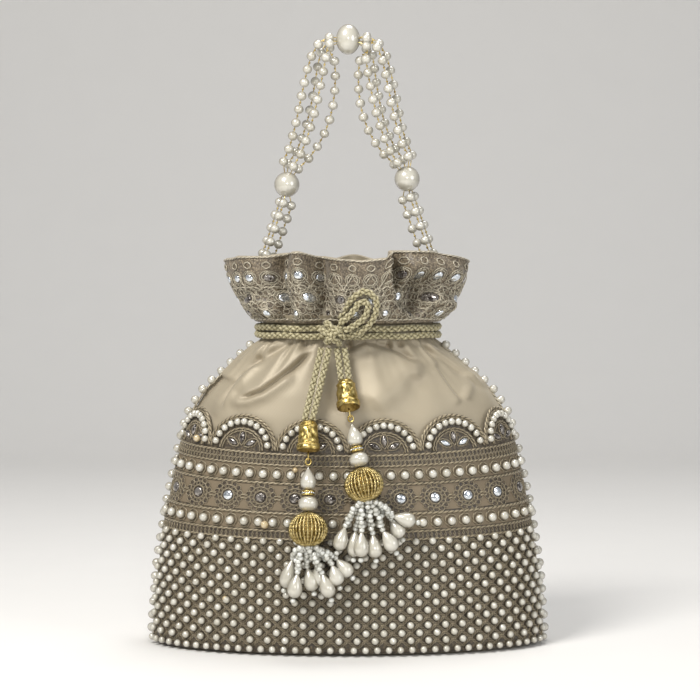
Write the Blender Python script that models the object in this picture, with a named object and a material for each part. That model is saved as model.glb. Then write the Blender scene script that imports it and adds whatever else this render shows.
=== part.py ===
"""A beaded satin potli bag: oval pouch, embroidered panels, ruffled collar, drawstring and bead handle."""

import math

import bpy
import numpy as np
from mathutils import Matrix, Vector

MM = 0.001
GAP = 0.35 * MM  # clearance between pieces that touch

# Satin pouch: flat oval base, full belly, drawn in at the neck
BASE_WIDTH = 185.4 * MM
BASE_DEPTH = 92 * MM
CORNER_HEIGHT = 4.5 * MM
CORNER_INSET = 4.2 * MM
NECK_WIDTH = 81 * MM
NECK_DEPTH = 50 * MM
NECK_HEIGHT = 150 * MM
NECK_BAND = 7 * MM
LIP_HEIGHT = 4.5 * MM
LIP_FLARE = 4 * MM
POUCH_WALL = 2.4 * MM
PLEATS = 12  # on each side of the bag
PLEAT_DEPTH = 3.2 * MM
NECK_PLEAT_DEPTH = 2 * MM
# Share of the height up to the neck, and how full the pouch is there between neck (0) and base (1)
BELLY = ((0, 1), (0.25, 0.948), (0.45, 0.858), (0.63, 0.749), (0.75, 0.66), (0.83, 0.52), (0.91, 0.28), (1, 0))

# Stiff board that keeps the base flat
BOARD_THICKNESS = 2 * MM
BOARD_CLEARANCE = 3 * MM

# Embroidered panel on each side, with its bands of beadwork from the bottom up
PANEL_WALL = 1.4 * MM
PANEL_BOTTOM = 5 * MM
SEAM_MARGIN = 4.2 * MM
LATTICE_TOP = 53.5 * MM
LATTICE_COLUMNS = 44
LATTICE_ROWS = 9
LATTICE_GROUND = 0.8 * MM
LATTICE_PEARL = 1.8 * MM  # from the ground to the top of a pearl
PEARL_RISE = 1.9 * MM
ROPE_RISE = 0.8 * MM
ROPE_WIDTH = 2 * MM
PEARL_COLUMNS = 29
LOWER_ROW = (58 * MM, 66 * MM)
ROSETTES = 12
ROSETTE_BAND = (67 * MM, 79 * MM)
ROSETTE_RISE = 2.6 * MM
UPPER_ROW = (80 * MM, 88 * MM)
SCALLOPS = 6
SCALLOP_BASE = 93.3 * MM
SCALLOP_HEIGHT = 15 * MM
CUSP_HEIGHT = 1.5 * MM  # where two scallops meet, above the row below
STONE_RISE = 1.6 * MM
BAND_RISE = 5 * MM  # the bands climb this much from the middle to the side seams

# Pearls along each side seam
SEAM_PEARL = 4.5 * MM
SEAM_PITCH = 6.9 * MM
SEAM_THREAD = 1.4 * MM

# Ruffled collar above the drawstring
COLLAR_BOTTOM = 4.3 * MM  # above the middle of the drawstring
COLLAR_WALL = 2.4 * MM
RIM_RISE = 37 * MM  # above the middle of the drawstring
RIM_WIDTH = 117 * MM
RIM_DEPTH = 68 * MM
RUFFLES = 7
RUFFLE_DEPTH = 7 * MM
RUFFLE_PHASE = 0.669
RIM_WAVE = 1.6 * MM
RIM_DROP = 4 * MM  # the rim is lower at the sides

# Drawstring: one doubled cord, knotted at the front
CORD = 3.2 * MM
CORD_PITCH = 3.6 * MM
KNOT_X = -7 * MM
# Knot and bow in widths of the cord; the bow's routes start from the middle of the knot
KNOT_SIZE = (3.9, 2.8, 4.2)
BOW_ROUTES = {
    "bow_loop_outer": (
        (1.1, -0.15, 2.1), (1.8, -0.6, 3.6), (3.4, -1.3, 5.6), (5, -1.4, 6.1),
        (6.3, -1.4, 4.8), (6.1, -1.3, 2.7), (4.6, -1.1, 0.6), (2.1, -0.3, -0.4),
    ),
    "bow_loop_inner": (
        (1, -1, 1.5), (2.6, -1.6, 2.8), (3.6, -1.6, 4.2), (4.5, -1.6, 4.8),
        (5.1, -1.6, 4.1), (4.9, -1.6, 2.9), (3.8, -1.5, 1.6), (1.7, -1.2, 0.4),
    ),
}

# Handle: bundles of bead strands between three large pearls
HANDLE_RISE = 108 * MM  # from the pivot to the middle of the top pearl
TOP_PEARL = (11.6 * MM, 14.6 * MM)
SHOULDER_PEARL = 12.2 * MM
SHOULDERS = {"left": (-29.3 * MM, 38.8 * MM), "right": (28.3 * MM, 41.5 * MM)}  # x, and height over the pivot
UPPER_STRANDS = {"left": 4, "right": 5}
LOWER_STRANDS = 3
STRAND_BEAD = 4.7 * MM
STRAND_WIRE = 1 * MM
STRAND_PITCH = 7.2 * MM
STRAND_TAIL = 0.98  # share of a large pearl's radius at which the wires meet its facets
BUNDLE_ROOM = 1.25  # how much wider a bundle is than beads that touch
BUNDLE_SWELL = 2.4 * MM
PIVOT_X = 38.5 * MM
PIVOT_RISE = 31 * MM  # above the middle of the drawstring
CRIMP_BEAD = 4 * MM
TAB_WIDTH = 8 * MM
TAB_THICKNESS = 2.2 * MM

# Tassels: x of each cap and how far its top and the tips of the strings hang below the neck
CAP_HEIGHT = 13.5 * MM
CAP_TOP = 6 * MM
CAP_MOUTH = 10.6 * MM
LINK_LENGTH = 6.4 * MM
LINK_WIDTH = 3.4 * MM
LINK_TIP = 0.08  # share of its width at the low end, where the beads swing
DROP_PEARL = (7.8 * MM, 10.4 * MM)
SPACER = (6.4 * MM, 2.4 * MM)
ROUND_PEARL = (9.4 * MM, 7.4 * MM)
RIBBED_BEAD = (18 * MM, 16 * MM)
RIBS = 10
RIB_DEPTH = 0.8 * MM
TASSELS = {
    "left": {"cap_top": (-18.3 * MM, 40.5 * MM), "lean": 0 * MM, "reach": 124 * MM, "fan": (-12, -8, -4, 0, 4, 8)},
    "right": {"cap_top": (-1.2 * MM, 22 * MM), "lean": 7 * MM, "reach": 109 * MM, "fan": (-6, -1, 4, 9, 14, 19)},
}
STRING_BEAD = 2.6 * MM
STRING_THREAD = 1.2 * MM
HUB_TOP = 2.2 * MM
HUB_LOW = 2.6 * MM
HUB_HEIGHT = 3 * MM
DROP_STEP = 3.5 * MM  # every second teardrop hangs this much higher
TEARDROP = (5.6 * MM, 10 * MM)

# What follows from the sizes above
NECK_LOW = NECK_HEIGHT - NECK_BAND / 2
NECK_HIGH = NECK_HEIGHT + NECK_BAND / 2
LIP_TOP = NECK_HIGH + LIP_HEIGHT
RIM_HEIGHT = NECK_HEIGHT + RIM_RISE
PIVOT_HEIGHT = NECK_HEIGHT + PIVOT_RISE
HANDLE_HEIGHT = PIVOT_HEIGHT + HANDLE_RISE
SCALLOP_TOP = SCALLOP_BASE + CUSP_HEIGHT + SCALLOP_HEIGHT
PANEL_TOP = SCALLOP_TOP + BAND_RISE + 1.3 * MM
SPREAD_LINE = SCALLOP_BASE - 1.3 * MM
COLUMNS = 3 * PLEATS
RISE_LIMIT = PANEL_WALL + GAP + ROSETTE_RISE

MATERIALS = {
    "satin": ((0.53, 0.42, 0.28), 0.38, 0.0),
    "embroidery": ((0.42, 0.34, 0.24), 0.7, 0.0),
    "collar_border": ((0.5, 0.42, 0.32), 0.7, 0.0),
    "pearl": ((0.85, 0.82, 0.74), 0.25, 0.0),
    "cord_braid": ((0.36, 0.3, 0.15), 0.6, 0.0),
    "gold": ((0.78, 0.52, 0.16), 0.28, 1.0),
    "crystal_beads": ((0.8, 0.78, 0.7), 0.12, 0.0),
    "board": ((0.45, 0.36, 0.26), 0.85, 0.0),
}


def material(name):
    """The named Principled material, made on first use."""
    found = bpy.data.materials.get(name)
    if found:
        return found
    colour, roughness, metallic = MATERIALS[name]
    made = bpy.data.materials.new(name)
    made.use_nodes = True
    shader = made.node_tree.nodes["Principled BSDF"]
    shader.inputs["Base Color"].default_value = (*colour, 1)
    shader.inputs["Roughness"].default_value = roughness
    shader.inputs["Metallic"].default_value = metallic
    return made


class Shape:
    """Vertices and faces collected row by row."""

    def __init__(self):
        self.points = []
        self.faces = []

    def row(self, points):
        first = len(self.points)
        self.points.extend(Vector(point) for point in points)
        return list(range(first, len(self.points)))

    def zip(self, low, high, low_keys=None, high_keys=None):
        """Triangles between two open rows whose keys rise together."""
        low_keys = low_keys or [i / (len(low) - 1) for i in range(len(low))]
        high_keys = high_keys or [i / (len(high) - 1) for i in range(len(high))]
        i = j = 0
        while i < len(low) - 1 or j < len(high) - 1:
            last_high = j == len(high) - 1
            if last_high or (i < len(low) - 1 and low_keys[i + 1] < high_keys[j + 1]):
                self.faces.append((low[i], low[i + 1], high[j]))
                i += 1
            else:
                self.faces.append((low[i], high[j + 1], high[j]))
                j += 1

    def ring_zip(self, low, high, low_keys, high_keys):
        """Triangles between two closed rings."""
        end = [RING_END]
        self.zip(low + low[:1], high + high[:1], list(low_keys) + end, list(high_keys) + end)

    def band(self, low, high):
        """Quads between two closed rings of the same count."""
        count = len(low)
        for i in range(count):
            k = (i + 1) % count
            self.faces.append((low[i], low[k], high[k], high[i]))

    def fan(self, loop, centre):
        """Triangles from a closed loop to one middle vertex."""
        for i, vertex in enumerate(loop):
            self.faces.append((vertex, loop[(i + 1) % len(loop)], centre))


def place(name, shape, slot, world=None, parent=None):
    """An object whose mesh is given in world space, standing at the given matrix under its parent."""
    world = world or Matrix.Identity(4)
    inverse = world.inverted()
    mesh = bpy.data.meshes.new(name)
    mesh.from_pydata([inverse @ point for point in shape.points], [], shape.faces)
    mesh.materials.append(material(slot))
    mesh.shade_smooth()
    mesh.set_sharp_from_angle(angle=math.radians(60))
    thing = bpy.data.objects.new(name, mesh)
    bpy.context.scene.collection.objects.link(thing)
    under = Matrix.Identity(4)
    if parent:
        thing.parent = parent
        under = PLACES[parent.name]
    thing.matrix_basis = under.inverted() @ world
    return thing


PLACES = {}


def pivot(name, world, parent=None):
    """An empty on a joint, which carries the pieces that turn about it."""
    empty = bpy.data.objects.new(name, None)
    empty.empty_display_size = 0.01
    bpy.context.scene.collection.objects.link(empty)
    under = Matrix.Identity(4)
    if parent:
        empty.parent = parent
        under = PLACES[parent.name]
    empty.matrix_basis = under.inverted() @ world
    PLACES[name] = world
    return empty


def belly_fullness(height):
    shares, values = zip(*BELLY)
    return float(np.interp(height / NECK_LOW, shares, values))


def half_sizes(height):
    """Half width and half depth of the plain pouch at a height."""
    full = belly_fullness(min(height, NECK_LOW))
    inset = CORNER_INSET * max(0, 1 - height / CORNER_HEIGHT)
    flare = LIP_FLARE * max(0, height - NECK_HIGH) / LIP_HEIGHT
    wide = NECK_WIDTH / 2 + (BASE_WIDTH - NECK_WIDTH) / 2 * full
    deep = NECK_DEPTH / 2 + (BASE_DEPTH - NECK_DEPTH) / 2 * full
    return wide - inset + flare, deep - inset + flare


def arc_table():
    """Angles of the oval and the share of its half perimeter up to each, from seam to seam."""
    wide, deep = half_sizes((LOWER_ROW[1] + UPPER_ROW[0]) / 2)
    angles = np.linspace(0, math.pi, 721)
    x, y = wide * np.cos(angles), deep * np.sin(angles)
    lengths = np.concatenate([[0], np.cumsum(np.hypot(np.diff(x), np.diff(y)))])
    return angles, lengths / lengths[-1], lengths[-1]


ARC_ANGLES, ARC_SHARES, HALF_PERIMETER = arc_table()
SIDES = ("back", "front")
RING_END = 6.0


def side_share(u):
    """Share of the half perimeter at u, which runs from 0 to 1 across a panel."""
    margin = SEAM_MARGIN / HALF_PERIMETER
    return margin + u * (1 - 2 * margin)


def side_angle(side, u):
    turn = 0 if side == "back" else math.pi
    return turn + float(np.interp(side_share(u), ARC_SHARES, ARC_ANGLES))


def ring_columns(per_side):
    """(key, angle, share of the whole way round, pleat) of each column of a ring."""
    found = []
    for number, side in enumerate(SIDES):
        found.append((3.0 * number, number * math.pi, number / 2, 0))
        for k in range(per_side + 1):
            u = k / per_side
            share = (number + side_share(u)) / 2
            found.append((3.0 * number + 1 + u, side_angle(side, u), share, k * COLUMNS // per_side % 3))
    return found


def oval_point(angle, height, sizes, out=0.0):
    """A point of an oval, moved out along its own normal."""
    wide, deep = sizes
    normal = Vector((math.cos(angle) / wide, math.sin(angle) / deep, 0)).normalized()
    return Vector((wide * math.cos(angle), deep * math.sin(angle), height)) + normal * out


def pleat_depth(height):
    heights = (PANEL_TOP, PANEL_TOP + 0.6 * (NECK_LOW - PANEL_TOP), NECK_LOW)
    return float(np.interp(height, heights, (0, PLEAT_DEPTH, NECK_PLEAT_DEPTH)))


def pleat_offset(pleat, height):
    return pleat_depth(height) * (0.5, -0.5, -0.3)[pleat]


def pouch_point(column, height, out=0.0):
    return oval_point(column[1], height, half_sizes(height), pleat_offset(column[3], height) + out)


def keys(columns):
    return [column[0] for column in columns]


def shoulder_heights():
    return [PANEL_TOP + share * (NECK_LOW - PANEL_TOP) for share in (0, 1 / 3, 2 / 3, 1)]


def belly_heights():
    return [CORNER_HEIGHT + share * (SPREAD_LINE - CORNER_HEIGHT) for share in (0, 0.36, 0.7)]


def build_pouch():
    """Satin bag, open at the lip, with its pleats gathered at the neck."""
    shape = Shape()
    coarse, fine, inner = ring_columns(COLUMNS // 2), ring_columns(COLUMNS), ring_columns(COLUMNS // 6)
    lower = [shape.row(pouch_point(c, z) for c in coarse) for z in [0.0] + belly_heights()]
    upper_heights = [SPREAD_LINE] + shoulder_heights() + [NECK_HIGH, LIP_TOP]
    upper = [shape.row(pouch_point(c, z) for c in fine) for z in upper_heights]
    shape.faces.append(tuple(reversed(lower[0])))
    for low, high in zip(lower, lower[1:]):
        shape.band(low, high)
    shape.ring_zip(lower[-1], upper[0], keys(coarse), keys(fine))
    for low, high in zip(upper, upper[1:]):
        shape.band(low, high)
    inner_heights = [LIP_TOP, NECK_HIGH, NECK_LOW, shoulder_heights()[2], PANEL_TOP, SPREAD_LINE, POUCH_WALL]
    inside = [shape.row(lining_point(c, z) for c in inner) for z in inner_heights]
    shape.ring_zip(upper[-1], inside[0], keys(fine), keys(inner))
    for high, low in zip(inside, inside[1:]):
        shape.band(high, low)
    shape.faces.append(tuple(inside[-1]))
    place("satin_pouch", shape, "satin")


def lining_point(column, height):
    """A point on the inside of the pouch, clear of the pleats' valleys."""
    inwards = POUCH_WALL + 0.5 * pleat_depth(height)
    return oval_point(column[1], height, half_sizes(height), -inwards)


def build_board():
    shape = Shape()
    columns = ring_columns(COLUMNS // 6)
    low, high = POUCH_WALL + GAP, POUCH_WALL + GAP + BOARD_THICKNESS
    inwards = -(POUCH_WALL + BOARD_CLEARANCE)
    rows = [shape.row(oval_point(c[1], z, half_sizes(low), inwards) for c in columns) for z in (low, high)]
    shape.faces.append(tuple(reversed(rows[0])))
    shape.band(rows[0], rows[1])
    shape.faces.append(tuple(rows[1]))
    place("base_board", shape, "board")


def band_height(u, height):
    """Where a band that is level at the middle lies at u, as it climbs to the seams."""
    return height + BAND_RISE * height / SCALLOP_TOP * (2 * u - 1) ** 2


def scallop_edge(k):
    """Height of the scalloped edge above the row below it, at one of the columns."""
    phase = k * SCALLOPS % COLUMNS / COLUMNS
    return CUSP_HEIGHT + SCALLOP_HEIGHT * math.sin(math.pi * phase) ** 0.7


def panel_point(side, u, height, rise=0.0):
    """A point of the panel's outer face, at a height given at the panel's middle."""
    z = band_height(u, height) if height > PANEL_BOTTOM else height
    return oval_point(side_angle(side, u), z, half_sizes(z), GAP + PANEL_WALL + rise)


class Panel(Shape):
    """One embroidered panel, built as rows of its outer face from the bottom up."""

    def __init__(self, side):
        super().__init__()
        self.side = side
        self.outer = []

    def line(self, count, height, rise):
        """A row across the panel; height and rise may be numbers or functions of the column."""
        points = []
        for k in range(count + 1):
            z = height(k) if callable(height) else height
            points.append(panel_point(self.side, k / count, z, rise(k) if callable(rise) else rise))
        row = self.row(points)
        self.outer.append(row)
        return row

    def next_line(self, count, height, rise):
        low = self.outer[-1]
        self.zip(low, self.line(count, height, rise))

    def bosses(self, count, height, rise, segments):
        """Raised middles between the last row and a new one, each over so many segments."""
        low = self.outer[-1]
        high = self.line(count * segments, height[1], 0.0)
        for k in range(count):
            first, last = k * segments, (k + 1) * segments
            middle = panel_point(self.side, (k + 0.5) / count, sum(height) / 2, rise)
            centre = self.row([middle])[0]
            self.fan(low[first : last + 1] + high[first : last + 1][::-1], centre)

    def close(self, inner):
        """Joins the outer face to the rows of the inner face, which run from the bottom up."""
        outer = self.outer
        self.zip(inner[0], outer[0])
        self.zip(outer[-1], inner[-1])
        for low, high in zip(inner, inner[1:]):
            self.zip(high, low)
        for end in (0, -1):
            edges = [[row[end] for row in rows] for rows in (outer, inner)]
            heights = [[self.points[vertex].z for vertex in edge] for edge in edges]
            spans = [[(z - line[0]) / (line[-1] - line[0]) for z in line] for line in heights]
            order = (0, 1) if end == 0 else (1, 0)
            self.zip(edges[order[0]], edges[order[1]], spans[order[0]], spans[order[1]])


def build_panel(side):
    """Lattice of pearls below, pearl rows and rosettes between ropes, and scallops along the top."""
    panel = Panel(side)
    for j in range(LATTICE_ROWS + 1):
        height = PANEL_BOTTOM + (LATTICE_TOP - PANEL_BOTTOM) * j / LATTICE_ROWS
        row = panel.line(LATTICE_COLUMNS, height, lambda k, j=j: LATTICE_GROUND + LATTICE_PEARL * ((k + j) % 2))
        if j:
            panel.zip(panel.outer[-2], row)
    panel.next_line(COLUMNS, LATTICE_TOP + ROPE_WIDTH, ROPE_RISE)
    panel.next_line(PEARL_COLUMNS, LOWER_ROW[0], 0.0)
    panel.bosses(PEARL_COLUMNS, LOWER_ROW, PEARL_RISE + ROPE_RISE, 1)
    panel.next_line(COLUMNS, ROSETTE_BAND[0], ROPE_RISE)
    panel.bosses(ROSETTES, ROSETTE_BAND, ROSETTE_RISE, COLUMNS // ROSETTES)
    panel.next_line(PEARL_COLUMNS, UPPER_ROW[0], 0.0)
    panel.bosses(PEARL_COLUMNS, UPPER_ROW, PEARL_RISE + ROPE_RISE, 1)
    panel.next_line(COLUMNS, SCALLOP_BASE, ROPE_RISE)
    for share, stone, plain in ((0.42, STONE_RISE, 0.2 * MM), (0.8, 0.4 * MM, 0.4 * MM), (1.0, ROPE_RISE, ROPE_RISE)):
        panel.next_line(
            COLUMNS,
            lambda k, share=share: SCALLOP_BASE + share * scallop_edge(k),
            lambda k, stone=stone, plain=plain: plain if k * SCALLOPS % COLUMNS == 0 else stone,
        )
    inner = []
    half = COLUMNS // 2
    for height in [PANEL_BOTTOM] + belly_heights()[1:]:
        inner.append(panel.row(backing_point(side, k / half, height) for k in range(half + 1)))
    inner.append(panel.row(backing_point(side, k / COLUMNS, SPREAD_LINE) for k in range(COLUMNS + 1)))
    top = []
    for k in range(COLUMNS + 1):
        edge = band_height(k / COLUMNS, SCALLOP_BASE + scallop_edge(k))
        top.append(backing_point(side, k / COLUMNS, edge))
    inner.append(panel.row(top))
    panel.close(inner)
    place("panel_" + side, panel, "embroidery")


def facet_point(angle, height, out):
    """A point over the flat facets of the pouch and the crests of its pleats."""
    lines = belly_heights() + [SPREAD_LINE] + shoulder_heights()
    low = max(line for line in lines if line <= height)
    high = min((line for line in lines if line > low), default=low + 1)
    start, end = (oval_point(angle, z, half_sizes(z), out + 0.5 * pleat_depth(z)) for z in (low, high))
    return start.lerp(end, (height - low) / (high - low))


def backing_point(side, u, height):
    return facet_point(side_angle(side, u), height, GAP)


def tube(shape, points, radii, sides, turn):
    """A closed tube along points, with its own radius at each."""
    points = [Vector(point) for point in points]
    ahead = (points[1] - points[0]).normalized()
    across = ahead.orthogonal().normalized()
    rings = []
    for i, point in enumerate(points):
        before, after = points[max(i - 1, 0)], points[min(i + 1, len(points) - 1)]
        direction = (after - before).normalized()
        across = (ahead.rotation_difference(direction) @ across).normalized()
        ahead = direction
        other = direction.cross(across)
        ring = []
        for k in range(sides):
            angle = turn + math.tau * k / sides
            ring.append(point + radii[i] * (across * math.cos(angle) + other * math.sin(angle)))
        rings.append(shape.row(ring))
    shape.faces.append(tuple(reversed(rings[0])))
    for low, high in zip(rings, rings[1:]):
        shape.band(low, high)
    shape.faces.append(tuple(rings[-1]))


def ring_tube(shape, points, radius, sides):
    """A tube whose end meets its start, for a cord that goes all the way round."""
    rings = []
    for i, point in enumerate(points):
        direction = (points[(i + 1) % len(points)] - points[i - 1]).normalized()
        out = direction.cross(Vector((0, 0, 1))).normalized()
        angles = [math.tau * k / sides for k in range(sides)]
        up = Vector((0, 0, 1))
        rings.append(shape.row(point + radius * (out * math.cos(a) + up * math.sin(a)) for a in angles))
    for i, ring in enumerate(rings):
        shape.band(ring, rings[i - 1])


def bead_string(name, path, bead, wire, sides, world=None, parent=None, ends=None, turn=0.0):
    """Beads at the given centres with wire between them and on to both ends, as one solid."""
    points, radii = [], []
    for i, centre in enumerate(path):
        if i:
            points.append((Vector(path[i - 1]) + Vector(centre)) / 2)
            radii.append(wire / 2)
        points.append(Vector(centre))
        radii.append(bead / 2)
    if not ends:
        first, last = points[0] - points[1], points[-1] - points[-2]
        ends = points[0] + first.normalized() * bead / 2, points[-1] + last.normalized() * bead / 2
    points = [ends[0]] + points + [ends[1]]
    radii = [wire / 2] + radii + [wire / 2]
    shape = Shape()
    tube(shape, points, radii, sides, turn)
    place(name, shape, "pearl", world, parent)


def turned(shape, profile, sides, at, axis=Vector((0, 0, -1)), ribs=0.0):
    """A round piece from (distance along the axis, radius) pairs; every second side may stand in by ribs."""
    across = axis.orthogonal().normalized()
    other = axis.cross(across)
    rings = []
    for along, radius in profile:
        ring = []
        for k in range(sides):
            angle = math.tau * k / sides
            r = radius - (ribs if k % 2 else 0)
            ring.append(at + axis * along + r * (across * math.cos(angle) + other * math.sin(angle)))
        rings.append(shape.row(ring))
    shape.faces.append(tuple(reversed(rings[0])))
    for low, high in zip(rings, rings[1:]):
        shape.band(low, high)
    shape.faces.append(tuple(rings[-1]))


def ball_profile(width, height, steps, start=0.0, flat=0.2):
    """Pairs for a rounded bead with small flat ends where its hole is."""
    found = []
    for i in range(steps + 1):
        angle = flat + (math.pi - 2 * flat) * i / steps
        found.append((start + height / 2 * (1 - math.cos(angle)), width / 2 * math.sin(angle)))
    return found


def build_seam(side, angle):
    """Pearls sewn down one side seam, from under the neck to the base."""
    start, end = NECK_LOW - SEAM_PEARL, CORNER_HEIGHT + SEAM_PEARL / 2
    steps = np.linspace(start, end, 200)
    line = [facet_point(angle, z, 2 * GAP + SEAM_PEARL / 2) for z in steps]
    lengths = np.concatenate([[0], np.cumsum([(b - a).length for a, b in zip(line, line[1:])])])
    count = round(lengths[-1] / SEAM_PITCH)
    picks = [int(np.searchsorted(lengths, lengths[-1] * k / count - 1e-9)) for k in range(count + 1)]
    name, centres = "seam_pearls_" + side, [line[i] for i in picks]
    bead_string(name, centres, SEAM_PEARL, SEAM_THREAD, 3, turn=math.pi - angle)


def ruffle(share):
    return math.cos(math.tau * RUFFLES * (share - RUFFLE_PHASE))


def rim_height(angle, share):
    return RIM_HEIGHT + RIM_WAVE * ruffle(share) - RIM_DROP * math.cos(angle) ** 4


def collar_point(column, level, out):
    """A point of the collar; level 0 is its hem, 1 is the pouch's lip and 2 is the rim."""
    _, angle, share, pleat = column
    hem = NECK_HEIGHT + COLLAR_BOTTOM
    if level <= 1:
        height = hem + (LIP_TOP - hem) * level
        ridge = pleat_offset(0, height)
        return oval_point(angle, height, half_sizes(height), ridge + GAP + out)
    rise = level - 1
    height = LIP_TOP + (rim_height(angle, share) - LIP_TOP) * rise
    flare = math.sin(rise * math.pi / 2)
    wide, deep = half_sizes(LIP_TOP)
    start = pleat_offset(0, LIP_TOP) + GAP
    wide += start + flare * (RIM_WIDTH / 2 - COLLAR_WALL - RUFFLE_DEPTH / 4 - wide - start)
    deep += start + flare * (RIM_DEPTH / 2 - COLLAR_WALL - RUFFLE_DEPTH / 4 - deep - start)
    return oval_point(angle, height, (wide, deep), out + RUFFLE_DEPTH / 2 * rise * ruffle(share))


def build_collar():
    """Embroidered ruffle that stands up from the neck and flares to a wavy rim."""
    shape = Shape()
    outer, inner = ring_columns(2 * PLEATS), ring_columns(PLEATS)
    outside = [shape.row(collar_point(c, level, COLLAR_WALL) for c in outer) for level in (0, 1, 1.25, 1.55, 1.8, 2)]
    inside = [shape.row(collar_point(c, level, 0.0) for c in inner) for level in (2, 1.55, 1, 0)]
    for low, high in zip(outside, outside[1:]):
        shape.band(low, high)
    shape.ring_zip(outside[-1], inside[0], keys(outer), keys(inner))
    for high, low in zip(inside, inside[1:]):
        shape.band(high, low)
    shape.ring_zip(inside[-1], outside[0], keys(inner), keys(outer))
    place("collar", shape, "collar_border")


def neck_front(x, out):
    """Depth of the front of the neck at x, so far out from its pleats."""
    wide, deep = NECK_WIDTH / 2 + out, NECK_DEPTH / 2 + out
    return -deep * math.sqrt(1 - (x / wide) ** 2)


def front_of(x, height, out):
    """Depth of the front of the pouch at x and height, so far out from its wall."""
    wide, deep = half_sizes(height)
    return -(deep + out) * math.sqrt(1 - (x / (wide + out)) ** 2)


def build_drawstring():
    """Both turns of the cord round the neck, and the knot that ties them."""
    out = NECK_PLEAT_DEPTH / 2 + GAP + CORD / 2
    for name, side in (("drawstring_upper", 1), ("drawstring_lower", -1)):
        shape = Shape()
        height = NECK_HEIGHT + side * CORD_PITCH / 2
        points = [oval_point(c[1], height, half_sizes(NECK_HEIGHT), out) for c in ring_columns(PLEATS)]
        ring_tube(shape, points, CORD / 2, 4)
        place(name, shape, "cord_braid")
    knot = Shape()
    size = Vector(KNOT_SIZE) * CORD
    centre = knot_centre()
    profile = ball_profile(1, 1, 4, -0.5, 0.35)
    turned(knot, profile, 8, Vector((0, 0, 0)), Vector((0, 0, 1)))
    knot.points = [centre + Vector(p[i] * size[i] for i in range(3)) for p in knot.points]
    place("drawstring_knot", knot, "cord_braid")


def knot_centre():
    band = NECK_PLEAT_DEPTH / 2 + GAP + CORD
    return Vector((KNOT_X, neck_front(KNOT_X, band) - GAP - KNOT_SIZE[1] * CORD / 2, NECK_HEIGHT))


def cord(name, route, count):
    """A round cord along a smooth curve through the points of its route."""
    smooth = smooth_line(route, count)
    curve = bpy.data.curves.new(name, "CURVE")
    curve.dimensions = "3D"
    curve.bevel_depth = CORD / 2
    curve.bevel_resolution = 2
    curve.use_fill_caps = True
    spline = curve.splines.new("POLY")
    spline.points.add(count - 1)
    for point, place_at in zip(spline.points, smooth):
        point.co = (*place_at, 1)
    curve.materials.append(material("cord_braid"))
    bpy.context.scene.collection.objects.link(bpy.data.objects.new(name, curve))


def smooth_line(route, count):
    """Points evenly spread along a Catmull-Rom curve through the route."""
    route = [Vector(point) for point in route]
    ends = [2 * route[0] - route[1]] + route + [2 * route[-1] - route[-2]]
    dense = []
    for a, b, c, d in zip(ends, ends[1:], ends[2:], ends[3:]):
        for step in range(20):
            t = step / 20
            blend = (2 * b + (c - a) * t + (2 * a - 5 * b + 4 * c - d) * t**2 + (3 * b - a - 3 * c + d) * t**3) / 2
            dense.append(blend)
    dense.append(route[-1])
    lengths = np.concatenate([[0], np.cumsum([(q - p).length for p, q in zip(dense, dense[1:])])])
    found = []
    for along in np.linspace(0, lengths[-1], count):
        i = min(int(np.searchsorted(lengths, along, "right")) - 1, len(dense) - 2)
        found.append(dense[i].lerp(dense[i + 1], (along - lengths[i]) / (lengths[i + 1] - lengths[i])))
    return found


def cap_axis(side):
    """Top, direction and mouth of a tassel's cap, lying on the pouch below the knot."""
    x, drop = TASSELS[side]["cap_top"]
    height = NECK_HEIGHT - drop
    low = height - CAP_HEIGHT
    top = Vector((x, front_of(x, height, RISE_LIMIT + CAP_TOP / 2 + 1.5 * GAP), height))
    mouth_x = x + TASSELS[side]["lean"] / 4
    mouth = Vector((mouth_x, front_of(mouth_x, low, RISE_LIMIT + CAP_MOUTH / 2 + 2 * GAP), low))
    axis = (mouth - top).normalized()
    return top, axis, top + axis * CAP_HEIGHT


def build_cords():
    """The bow's loop and the two doubled legs that carry the tassels, each cord by itself."""
    knot = knot_centre()
    for name, route in BOW_ROUTES.items():
        cord(name, [knot + Vector(point) * CORD for point in route], 9)
    for side, spread in (("left", -1), ("right", 1)):
        top, axis, _ = cap_axis(side)
        for number, shift in (("a", -1), ("b", 1)):
            across = Vector((shift * (CORD / 2 + GAP / 2), 0, 0))
            start = knot + Vector((spread * CORD_PITCH + across.x, 0, -KNOT_SIZE[2] * CORD / 2 - GAP))
            end = top - axis * 2 * GAP + across
            middle = start.lerp(end, 0.5)
            out = RISE_LIMIT if side == "left" else 0.6 * PLEAT_DEPTH
            middle.y = min(middle.y, front_of(middle.x, middle.z, out + CORD / 2 + 2 * GAP))
            cord(side + "_leg_" + number, [start, middle, end], 7 if side == "left" else 4)


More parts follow.
